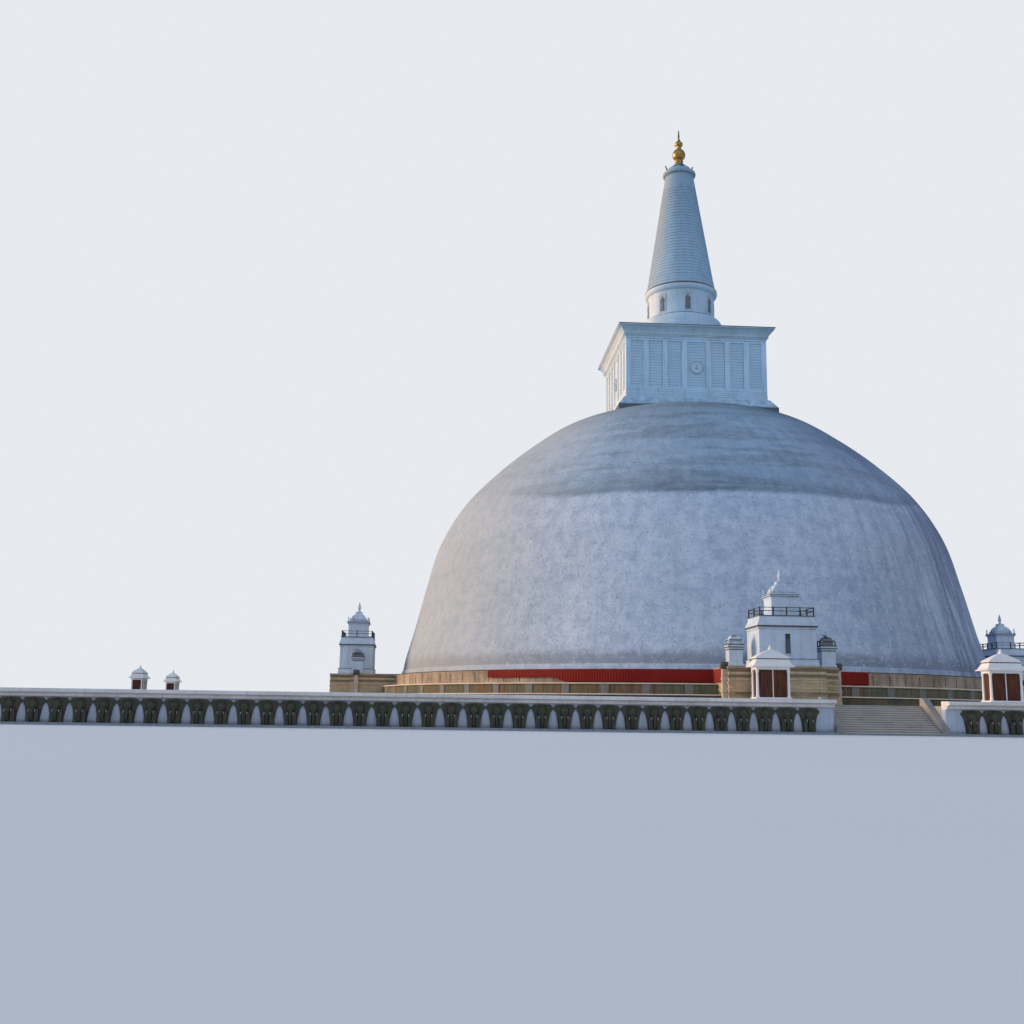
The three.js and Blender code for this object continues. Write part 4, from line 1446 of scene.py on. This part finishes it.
class STUPA_OT_spire(StupaPiece, bpy.types.Operator):
    """Make the ringed spire and its rim"""

    bl_idname = "stupa.spire"
    bl_label = "Spire"

    RIM_STEPS = 72

    def execute(self, context):
        settings = context.scene.stupa_spire
        finish = plaster_of("spire_plaster")
        low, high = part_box("spire")
        top_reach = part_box("spire_rim")[1].x - 0.040
        slope = (high.x - top_reach) / (high.z - low.z)
        pitch = (settings.ring_top - low.z) / settings.rings
        outline = []
        for index in range(settings.rings):
            for rise, depth in RING_PROFILE:
                up = (index + rise) * pitch
                outline.append((high.x - slope * up - depth * settings.groove, low.z + up))
        outline += [
            (high.x - slope * (settings.ring_top - low.z), settings.ring_top + 0.004),
            (top_reach, high.z),
        ]
        piece("spire_rings", turned(outline, 96), finish, replaces=["spire"], sharp=25)
        self.rim(finish)
        return {"FINISHED"}

    def rim(self, finish):
        """Rounded rim at the head, growth under it and four rods."""
        low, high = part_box("spire_rim")
        rise = high.z - low.z
        outline = [
            *shifted([(-0.040, 0.0), (-0.022, 0.08)], high.x, low.z, rise),
            *arc(high.x - 0.036, low.z + 0.36 * rise, 0.036, 0.24 * rise, -75, 75, 12),
            *shifted([(-0.066, 0.68), (-0.072, 0.84), (-0.080, 0.90)], high.x, low.z, rise),
            (high.x - 0.095, high.z),
        ]
        piece("spire_rim_roll", turned(outline, self.RIM_STEPS), finish, replaces=["spire_rim"])
        under = [(-0.05, 0.002), (-0.024, 0.012), (-0.014, 0.036), (-0.05, 0.036)]
        under = ring(shifted(under, high.x, low.z), self.RIM_STEPS)
        piece("spire_rim_growth", under, plaster_of("ledge_growth"))
        start, end = (0, -high.x + 0.085, high.z - 0.03), (0, -high.x + 0.045, high.z + 0.070)
        rods = joined(*[copies(tapered(start, end, 0.016, 0.009, 8), turn) for turn in TURNS])
        iron = painted("rod_iron", (0.05, 0.045, 0.04), (0.12, 0.06, 0.03), 0.6, 0.02)
        piece("spire_rods", rods, iron)


class STUPA_OT_pinnacle(StupaPiece, bpy.types.Operator):
    """Make the copper cone, the gilt ball and the spike"""

    bl_idname = "stupa.pinnacle"
    bl_label = "Pinnacle"

    def execute(self, context):
        settings = context.scene.stupa_spire
        gilt = gilt_metal(settings)
        low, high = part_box("pinnacle_cap")
        cone = [
            (high.x, low.z), (high.x, low.z + 0.006), (high.x - 0.012, low.z + 0.012),
            (high.x * 0.80, low.z + 0.036), (high.x * 0.60, low.z + 0.058), (high.x * 0.56, high.z),
        ]
        green = painted("green_copper", settings.copper, (0.05, 0.12, 0.13), 0.55, 0.08)
        piece("pinnacle_cone", turned(cone, 64), green, replaces=["pinnacle_cap"])
        self.ball(gilt)
        self.spike(gilt)
        return {"FINISHED"}

    def ball(self, gilt):
        """Ball on its moulded neck, with a seam round its middle."""
        low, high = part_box("pinnacle_ball")
        radius = high.x
        centre = high.z - radius
        neck = 0.61 * radius
        outline = [
            (neck + 0.011, low.z), (neck + 0.011, low.z + 0.012), (neck, low.z + 0.020),
            (neck * 0.94, low.z + 0.055), (neck * 1.06, low.z + 0.066),
            (neck * 1.06, low.z + 0.078), (neck * 0.90, low.z + 0.088),
            *arc(0.0, centre, radius, radius, -58, -6, 10),
            (radius, centre - 0.008), (radius, centre + 0.008),
            *arc(0.0, centre, radius * 0.985, radius, 8, 66, 10), (0.045, high.z),
        ]
        piece("pinnacle_orb", turned(outline, 64), gilt, ["pinnacle_ball"])

    def spike(self, gilt):
        """Bead over the ball, and the dark bronze tip."""
        low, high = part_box("pinnacle_spike")
        rise = high.z - low.z
        bead = [
            *shifted([(0.040, 0.0), (0.040, 0.06)], 0, low.z, rise),
            *arc(0.034, low.z + 0.25 * rise, 0.036, 0.13 * rise, -70, 75, 10),
            *shifted([(0.026, 0.44), (0.030, 0.47), (0.016, 0.52), (0.014, 0.60)], 0, low.z, rise),
        ]
        piece("pinnacle_bead", turned(bead, 48), gilt, ["pinnacle_spike"])
        tip = [(0.0135, 0.59), (0.017, 0.66), (0.012, 0.80), (0.0075, 0.985), (0.003, 1.0)]
        dark = painted("spike_bronze", (0.11, 0.085, 0.05), SOOT, 0.5, 0.03)
        piece("pinnacle_tip", turned(shifted(tip, 0, low.z, rise), 32), dark)


class STUPA_OT_frontispieces(StupaPiece, bpy.types.Operator):
    """Make the banded stone fronts with their steles and turrets"""

    bl_idname = "stupa.frontispieces"
    bl_label = "Frontispieces"

    TURRETS = tuple(at(x, -TURRET_PLACE) for x in (-TURRET_ACROSS, TURRET_ACROSS))
    STELES = tuple(at(x, -STELE_PLACE) for x in (-STELE_ACROSS, STELE_ACROSS))
    TURRET_BODY = ((0.090, 0.711), (0.090, 0.738), (0.080, 0.746), (0.080, 0.905), (0.086, 0.912),
                   (0.086, 0.922), (0.096, 0.934), (0.096, 0.966), (0.062, 0.968))
    STELE_BODY = (
        (0.034, 0.2604), (0.034, 0.318), (0.029, 0.324), (0.029, 0.410), (0.034, 0.416),
        (0.034, 0.446), (0.029, 0.452), (0.029, 0.548), (0.034, 0.554), (0.034, 0.574),
        (0.029, 0.590), (0.029, 0.684),
    )
    CAPITAL = ((0.030, 0.682), (0.044, 0.698), (0.044, 0.712), (0.038, 0.716), (0.038, 0.722),
               (0.044, 0.727), (0.044, 0.750), (0.034, 0.765))
    TURRET_GROWTH = ((0.087, 0.902, 0.910), (0.0975, 0.928, 0.938), (0.0975, 0.956, 0.968),
                     (0.0775, 1.014, 1.022), (0.091, 0.708, 0.717))

    def execute(self, context):
        stone = context.scene.stupa_stone
        base = banded_stone(stone)
        carved = painted("stele_stone", stone.stele, stone.front_dark, 0.9, 0.05)
        growth, white = plaster_of("ledge_growth"), plaster_of("tower_plaster")
        for side, turn in zip(SIDES, TURNS):
            steles = [turn @ place for place in self.STELES]
            turrets = [turn @ place for place in self.TURRETS]
            piece(f"front_base_{side}", copies(self.base(), turn), base,
                  [f"frontispiece_{side}"])
            for name, outline, finish, places, slot in (
                ("front_steles", self.STELE_BODY, carved, steles, "front_stone"),
                ("front_capitals", self.CAPITAL, growth, steles, "front_stone"),
                ("turrets", self.TURRET_BODY, white, turrets, "white_plaster"),
            ):
                piece(f"{name}_{side}", copies(squared(outline), *places), finish)
            tops = zip(HANDS, turrets, ("weathered_white", "grown_plaster"))
            for (hand, _), place, finish in tops:
                top = copies(self.turret_top(), place)
                piece(f"turret_top_{side}_{hand}", top, plaster_of(finish))
            rims = joined(*[squared(rim(*sizes), hollow=True) for sizes in self.TURRET_GROWTH])
            piece(f"turret_growth_{side}", copies(rims, *turrets), growth)
        return {"FINISHED"}

    def base(self):
        """Stepped block: a wide part, and a narrower middle that comes further forward."""
        part = bmesh.new()
        for half, front in ((FRONT_HALF, FRONT_PLACE), (CENTRE_HALF, CENTRE_PLACE)):
            depth = (front - FRONT_BACK) / 2
            put(part, squared(self.courses(depth), half - depth), at(0, -(front + FRONT_BACK) / 2))
        for across, front in ((0.53, FRONT_PLACE), (0.34, CENTRE_PLACE), (0.12, CENTRE_PLACE)):
            for x in (-across, across):
                put(part, bar(x, 0.030, (-front - 0.006, -front + 0.010), (0.300, 0.664), 0.002))
        return part

    def courses(self, depth):
        """Mouldings up the wall, from its half depth."""
        outline = [(0.012, 0.2604), (0.012, 0.296), (0.004, 0.304)]
        for foot, top in ((0.384, 0.404), (0.448, 0.460), (0.512, 0.532), (0.580, 0.592)):
            outline += [(0.0, foot - 0.006), (0.010, foot), (0.010, top), (0.0, top + 0.006)]
        outline += [(0.0, 0.650), (0.006, 0.664), (0.006, 0.684), (0.012, 0.690), (0.012, 0.708),
                    (0.008, 0.712)]
        return shifted(outline, depth, 0.0)

    def turret_top(self):
        """Neck, upper moulding, domed cap and corner knobs."""
        one = squared([(0.062, 0.966), (0.062, 1.012), (0.076, 1.018), (0.076, 1.030),
                       *arc(0.0, 1.032, 0.056, 0.044, 0, 80, 8), (0.012, 1.080), (0.010, 1.093)])
        knob = turned(
            [(0.011, 0.966), (0.014, 0.984), (0.007, 0.992), (0.013, 1.006), (0.004, 1.024)], 10
        )
        put(one, knob, *corners(0.080, 0.080))
        return one


class STUPA_OT_towers(StupaPiece, bpy.types.Operator):
    """Make the white towers on the frontispieces"""

    bl_idname = "stupa.towers"
    bl_label = "Towers"

    HALF_Y = 0.250
    SPREAD = 0.079
    RAIL_X = 0.313
    RAIL_Y = 0.234
    # Outlines: from the wall's half depth on the body, and from the axis above it
    BODY_WALL = (
        (0.024, 0.7123), (0.024, 0.745), (0.018, 0.750), (0.018, 0.785), (0.022, 0.790),
        (0.022, 0.797), (0.0, 0.804), (0.0, 1.128), (0.008, 1.134), (0.008, 1.146),
        (0.014, 1.152), (0.014, 1.160), (0.020, 1.168), (0.020, 1.186), (-0.004, 1.246),
        (-0.008, 1.272), (-0.002, 1.276), (-0.002, 1.288), (-0.010, 1.290),
    )
    HEAD = (
        (0.158, 1.289), (0.158, 1.320), (0.151, 1.324), (0.151, 1.486), (0.156, 1.492),
        (0.156, 1.502), (0.164, 1.510), (0.174, 1.522), (0.174, 1.538), (0.130, 1.5405),
    )
    CAP = (
        (0.128, 1.540), (0.130, 1.552), (0.130, 1.570), (0.124, 1.573), (0.121, 1.588),
        (0.115, 1.592), (0.112, 1.610), (0.105, 1.614), (0.099, 1.632), (0.089, 1.636),
        (0.079, 1.654), (0.065, 1.660), (0.047, 1.680), (0.050, 1.688), (0.050, 1.704),
        (0.028, 1.710),
    )
    FINIAL = ((0.023, 1.708), (0.024, 1.722), (0.014, 1.734), (0.020, 1.748), (0.026, 1.766),
              (0.025, 1.786), (0.016, 1.818), (0.005, 1.860))
    KNOB = ((0.010, 1.537), (0.014, 1.556), (0.007, 1.574), (0.012, 1.590), (0.004, 1.622))
    BODY_GROWTH = ((0.2715, 1.156, 1.174), (0.249, 1.280, 1.2915), (0.273, 0.792, 0.799))
    HEAD_GROWTH = ((0.175, 1.516, 1.523), (0.175, 1.533, 1.541), (0.131, 1.567, 1.572),
                   (0.1165, 1.588, 1.592))

    def execute(self, context):
        iron = painted("rail_iron", (0.075, 0.075, 0.075), (0.13, 0.12, 0.11), 0.6, 0.03)
        glass = painted("window_blue", (0.13, 0.13, 0.16), (0.09, 0.09, 0.11), 0.35, 0.05)
        white, growth = plaster_of("tower_plaster"), plaster_of("ledge_growth")
        for side, turn in zip(SIDES, TURNS):
            for name, one, material, replaces in (
                ("tower_body", self.body(), white, [f"frontispiece_tower_{side}"]),
                ("tower_head", squared(self.HEAD), white, []),
                ("tower_cap", self.cap(), plaster_of("weathered_white"), []),
                ("tower_growth", self.growth(), growth, []),
                ("tower_railing", self.railing(), iron, []),
                ("tower_window", self.window(), glass, []),
                # The window head takes the dark growth finish as painted shade in the opening
                ("tower_window_head", self.window_head(), growth, []),
            ):
                part = copies(one, turn @ at(0, -TOWER_PLACE))
                piece(f"{name}_{side}", part, material, replaces=replaces)
        return {"FINISHED"}

    def corner_posts(self, inset, half, heights):
        """Square posts near the body's corners."""
        one = bar(0, half, (-half, half), heights, 0.003)
        return copies(one, *corners(self.HALF_Y + self.SPREAD - inset, self.HALF_Y - inset))

    def body(self):
        """Moulded walls with corner posts, and the window's frame."""
        part = squared(shifted(self.BODY_WALL, self.HALF_Y, 0.0), self.SPREAD)
        put(part, self.corner_posts(0.021, 0.026, (0.800, 1.132)))
        face = -self.HALF_Y
        for heights in ((WINDOW_SILL - 0.014, WINDOW_SILL), (WINDOW_HEAD, WINDOW_HEAD + 0.016)):
            put(part, bar(0, WINDOW_HALF + 0.014, (face - 0.010, face + 0.01), heights, 0.002))
        heights = WINDOW_SILL - 0.002, WINDOW_HEAD + 0.002
        for x in (-WINDOW_HALF - 0.006, WINDOW_HALF + 0.006):
            put(part, bar(x, 0.006, (face - 0.006, face + 0.01), heights, 0.002))
        return part

    def cap(self):
        """Stepped roof, its finial and the four corner knobs."""
        part = joined(squared(self.CAP), turned(self.FINIAL, 20))
        put(part, turned(self.KNOB, 12), *corners(0.154, 0.154))
        return part

    def growth(self):
        """Dark growth along the ledges and round the heads of the corner posts."""
        part = joined(
            *[squared(rim(*sizes), self.SPREAD, True) for sizes in self.BODY_GROWTH],
            *[squared(rim(*sizes), hollow=True) for sizes in self.HEAD_GROWTH],
        )
        put(part, self.corner_posts(0.022, 0.028, (1.126, 1.158)))
        return part

    def railing(self):
        """Posts and two rails round the body's roof."""
        x, y = self.RAIL_X, self.RAIL_Y
        places = [(across, along) for across in (-x, -x / 2, 0, x / 2, x) for along in (-y, y)]
        post = [(0.0072, 1.288), (0.0072, 1.378), (0.008, 1.381), (0.008, 1.388), (0.003, 1.390)]
        part = copies(squared(post), *[at(*place) for place in (*places, (-x, 0), (x, 0))])
        for level in (1.342, 1.381):
            heights = level - 0.0038, level + 0.0038
            for sign in (-1, 1):
                put(part, bar(0, x, (sign * y - 0.0036, sign * y + 0.0036), heights, 0.001))
                put(part, bar(sign * x, 0.0036, (-y, y), heights, 0.001))
        return part

    def window(self):
        """Dull blue shutters in the tall window."""
        face, heights = -self.HALF_Y, (WINDOW_SILL, WINDOW_HEAD)
        part = bar(0, WINDOW_HALF, (face - 0.0015, face + 0.02), heights, 0.001)
        for x in (-0.001, 0.013):
            put(part, bar(x, 0.002, (face - 0.004, face), heights))
        return part

    def window_head(self):
        """Dark block over the shutters and along their left side, as painted shade in the opening.
        """
        face = -self.HALF_Y
        part = bar(
            0, WINDOW_HALF, (face - 0.004, face + 0.02), (WINDOW_HEAD - 0.060, WINDOW_HEAD), 0.001
        )
        put(part, bar(
            0.005 - WINDOW_HALF, 0.005, (face - 0.003, face), (WINDOW_SILL, WINDOW_HEAD), 0.001
        ))
        return part


class STUPA_OT_pavilions(StupaPiece, bpy.types.Operator):
    """Make the gate pavilions on the wall, with columns, shutters and roofs"""

    bl_idname = "stupa.pavilions"
    bl_label = "Pavilions"

    BACK_COLUMN = 0.047
    FRONT_BOARDS = 12
    SIDE_BOARDS = 8
    BOARD_GAP = 0.0006
    SKIRT = ((0.118, 0.5753), (0.118, 0.581), (0.111, 0.584), (0.101, 0.596), (0.089, 0.614),
             (0.078, 0.634), (0.073, 0.649), (0.050, 0.649))
    UPPER_FOOT = 0.080
    UPPER = ((0.072, 0.647), (0.080, 0.650), (0.080, 0.658), (0.076, 0.662), (0.070, 0.672),
             (0.054, 0.689), (0.042, 0.701), (0.027, 0.715), (0.012, 0.727))
    FINIAL = ((0.016, 0.722), (0.021, 0.733), (0.018, 0.741), (0.009, 0.747), (0.011, 0.753),
              (0.004, 0.769))
    SHAFT = (
        (0.016, PAVILION_FLOOR - 0.002), (0.016, PAVILION_FLOOR + 0.012),
        (0.0125, PAVILION_FLOOR + 0.018), (0.0105, PAVILION_EAVE - 0.050),
        (0.015, PAVILION_EAVE - 0.038), (0.015, PAVILION_EAVE - 0.022),
    )

    def execute(self, context):
        wood, white, growth = shutter_wood(), plaster_of("gate_plaster"), plaster_of("ledge_growth")
        for side, turn in zip(SIDES, TURNS):
            for hand, sign in HANDS:
                place = turn @ at(sign * PAVILION_ACROSS, -PAVILION_PLACE)
                for name, one, material, replaces in (
                    ("pavilion_frame", self.columns(), white, [f"pavilion_{side}_{hand}"]),
                    ("pavilion_shutters", self.shutters(), wood, []),
                    ("pavilion_cap", self.roof(), white, [f"pavilion_roof_{side}_{hand}"]),
                    ("pavilion_growth", self.growth(), growth, []),
                ):
                    piece(f"{name}_{side}_{hand}", copies(one, place), material, replaces=replaces)
        return {"FINISHED"}

    def columns(self):
        """Sill, beam and columns, with a slim post between the front leaves."""
        sill, beam = PAVILION_HALF_Y + 0.022, PAVILION_HALF_Y + 0.014
        foot = [(sill, 0.3003), (sill, 0.306), (sill - 0.004, PAVILION_FLOOR)]
        head = [(-0.004, -0.024), (-0.004, -0.012), (0.0, -0.010), (0.0, 0.0)]
        part = joined(
            squared(foot, PAVILION_SPREAD),
            bar(0, sill + PAVILION_SPREAD, (0.0505, sill), (0.2603, PAVILION_FLOOR - 0.001), 0.002),
            squared(shifted(head, beam, PAVILION_EAVE), PAVILION_SPREAD),
        )
        put(part, turned(self.SHAFT, 16), *corners(PAVILION_HALF_X, PAVILION_HALF_Y))
        put(part, turned(self.SHAFT, 12), *[
            at(x, PAVILION_HALF_Y) for x in (-self.BACK_COLUMN, self.BACK_COLUMN)
        ])
        depths = -PAVILION_HALF_Y - 0.002, -PAVILION_HALF_Y + 0.004
        put(part, bar(0, 0.004, depths, (PAVILION_FLOOR, PAVILION_EAVE - 0.02), 0.001))
        return part

    def boards(self, number, reach):
        """Both edges of each upright board across a leaf."""
        width = 2 * reach / number
        return [
            (-reach + board * width + self.BOARD_GAP, -reach + (board + 1) * width - self.BOARD_GAP)
            for board in range(number)
        ]

    def shutters(self):
        """Folding leaves of upright boards, closed on three sides and open at the back."""
        part = bmesh.new()
        low, high = heights = PAVILION_FLOOR, PAVILION_EAVE - 0.022
        x, y = PAVILION_HALF_X - 0.010, PAVILION_HALF_Y - 0.006
        leaves = [
            (edges, (-y - 0.003, -y + 0.003), heights)
            for edges in self.boards(self.FRONT_BOARDS, x)
        ]
        for sign in (-1, 1):
            across = sign * x - 0.003, sign * x + 0.003
            leaves += [(across, edges, heights) for edges in self.boards(self.SIDE_BOARDS, y)]
        for edges in ((-x, -self.BACK_COLUMN), (self.BACK_COLUMN, x)):
            leaves.append((edges, (y - 0.003, y + 0.003), heights))
        for level in (low + 0.02, (low + high) / 2, high - 0.02):
            leaves.append(((-x, x), (-y - 0.005, -y), (level - 0.006, level + 0.006)))
        for leaf in leaves:
            put(part, block(*zip(*leaf), 0.001))
        return part

    def roof(self):
        """Skirt, upper roof and finial."""
        upper = squared(self.UPPER)
        stretch = (self.UPPER_FOOT + PAVILION_SPREAD) / self.UPPER_FOOT
        bmesh.ops.scale(upper, verts=upper.verts, vec=(stretch, 1.0, 1.0))
        return joined(squared(self.SKIRT, PAVILION_SPREAD), upper, turned(self.FINIAL, 16))

    def growth(self):
        """Dark growth where the two roofs meet."""
        return squared(rim(0.077, 0.641, 0.6495, 0.017), PAVILION_SPREAD, True)


class STUPA_OT_offering_cloth(StupaPiece, bpy.types.Operator):
    """Make the red cloth hung along the upper round terrace"""

    bl_idname = "stupa.offering_cloth"
    bl_label = "Offering cloth"

    ROWS = 12
    GATHER_FROM = math.radians(-30.5)
    GATHER_RUN = math.radians(2.0)
    OFF_LEDGE = 0.02
    OFF_WALL = 0.006
    CORNER = 0.04
    FULLNESS = 1.06
    THICKNESS = 0.0015

    def execute(self, context):
        settings = context.scene.stupa_cloth
        material = red_cotton(settings)
        ledge_radius = farthest("basal_terrace_upper")
        for node, name in (
            ("offering_cloth", "cloth_left"), ("offering_cloth_right", "cloth_right")
        ):
            low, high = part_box(node)
            places = [vert.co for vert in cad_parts[node].data.vertices]
            on_ledge = [
                place for place in places if place.xy.length < ledge_radius + self.OFF_LEDGE
            ]
            angles = [math.atan2(place.x, -place.y) for place in on_ledge]
            radius = max(place.xy.length for place in on_ledge) + self.OFF_WALL
            first, last = min(angles), max(angles)
            straight = (
                max(0.0, -low.y - radius * math.cos(last)) if len(on_ledge) < len(places) else 0.0
            )
            run = (first, last, radius, straight)
            made = self.hang(settings, name, node, material, run, (low.z, high.z))
            walk = radius * (last - first) + straight
        return {"FINISHED"}

    def on_line(self, run, walk):
        """Place and outward direction along the cloth: round the ledge, then straight forwards."""
        first, last, radius, straight = run
        round_length = radius * (last - first)
        angle = first + min(walk, round_length) / radius
        outward = Vector((math.sin(angle), -math.cos(angle)))
        place = outward * radius
        if straight:
            beyond = walk - round_length
            place.y -= max(0.0, beyond)
            share = min(1.0, max(0.0, 0.5 + beyond / self.CORNER))
            outward = outward * min(1.0, 2 - 2 * share) + Vector((-1.0, 0.0)) * min(1.0, 2 * share)
        return place, outward, angle

    def hang(self, settings, name, node, material, run, heights):
        """Model the cloth with its folds, its sag and its gathered stretch."""
        first, last, radius, straight = run
        foot, top = heights
        walk_length = radius * (last - first) + straight
        drop = top - foot
        folds = max(3, round(walk_length * settings.folds_a_metre))
        part = bmesh.new()
        bmesh.ops.create_grid(part, x_segments=folds * 8, y_segments=self.ROWS, size=0.5)
        own = part.loops.layers.uv.new("cloth")
        for face in part.faces:
            for loop in face.loops:
                loop[own].uv = (loop.vert.co.x + 0.5) * walk_length, (loop.vert.co.y + 0.5) * drop
        for vert in part.verts:
            along, up = vert.co.x + 0.5, vert.co.y + 0.5
            walk = along * walk_length
            place, outward, angle = self.on_line(run, walk)
            # Even folds that wander, deeper at the hem and in swells, and a sag between the ties
            fold = math.sin(along * folds * 2 * math.pi + 1.3 * math.sin(walk * 8.0))
            swell = 0.5 + 0.5 * math.sin(walk * 14.0 + 2.0 * math.sin(walk * 5.0))
            depth = settings.fold_depth * (0.35 + 0.65 * (1 - up)) * (0.4 + 0.6 * swell)
            sag = 0.006 * math.sin(walk * 6.6 * math.pi) ** 2 * up ** 3
            gathered = settings.gathered * min(
                1.0, max(0.0, (self.GATHER_FROM - angle) / self.GATHER_RUN)
            )
            place += outward * depth * (1 + fold)
            vert.co = (place.x, place.y, foot + gathered + up * (drop - gathered) - sag)
        made = piece(name, part, material, [node], 80)
        thickness = made.modifiers.new("thickness", "SOLIDIFY")
        thickness.thickness = self.THICKNESS
        thickness.offset = 0.0
        return made


class STUPA_PT_panel(bpy.types.Panel):
    """Buttons for the pieces of the stupa"""

    bl_idname = "STUPA_PT_panel"
    bl_label = "Great Stupa"
    bl_space_type = "VIEW_3D"
    bl_region_type = "UI"
    bl_category = "Stupa"

    def draw(self, context):
        for operator in PIECES:
            self.layout.operator(operator.bl_idname)
        for name in SETTINGS:
            settings = getattr(context.scene, name)
            box = self.layout.box()
            for key in settings.bl_rna.properties.keys():
                if key not in ("rna_type", "name"):
                    box.prop(settings, key)


SETTINGS = {
    "stupa_stage": StupaStageSettings,
    "stupa_plaster": StupaPlasterSettings,
    "stupa_stone": StupaStoneSettings,
    "stupa_spire": StupaSpireSettings,
    "stupa_cloth": StupaClothSettings,
}
PIECES = (
    STUPA_OT_stage,
    STUPA_OT_dome,
    STUPA_OT_basal_terraces,
    STUPA_OT_terrace,
    STUPA_OT_elephant_wall,
    STUPA_OT_chamber,
    STUPA_OT_drum,
    STUPA_OT_spire,
    STUPA_OT_pinnacle,
    STUPA_OT_frontispieces,
    STUPA_OT_towers,
    STUPA_OT_pavilions,
    STUPA_OT_offering_cloth,
)


def register():
    for settings in SETTINGS.values():
        bpy.utils.register_class(settings)
    for name, settings in SETTINGS.items():
        setattr(bpy.types.Scene, name, bpy.props.PointerProperty(type=settings))
    for operator in (*PIECES, STUPA_PT_panel):
        bpy.utils.register_class(operator)


def unregister():
    for operator in (STUPA_PT_panel, *reversed(PIECES)):
        bpy.utils.unregister_class(operator)
    for name, settings in SETTINGS.items():
        delattr(bpy.types.Scene, name)
        bpy.utils.unregister_class(settings)


def main():
    """Build every piece in order."""
    register()
    for operator in PIECES:
        group, name = operator.bl_idname.split(".")
        getattr(getattr(bpy.ops, group), name)()


if __name__ == "__main__":
    main()
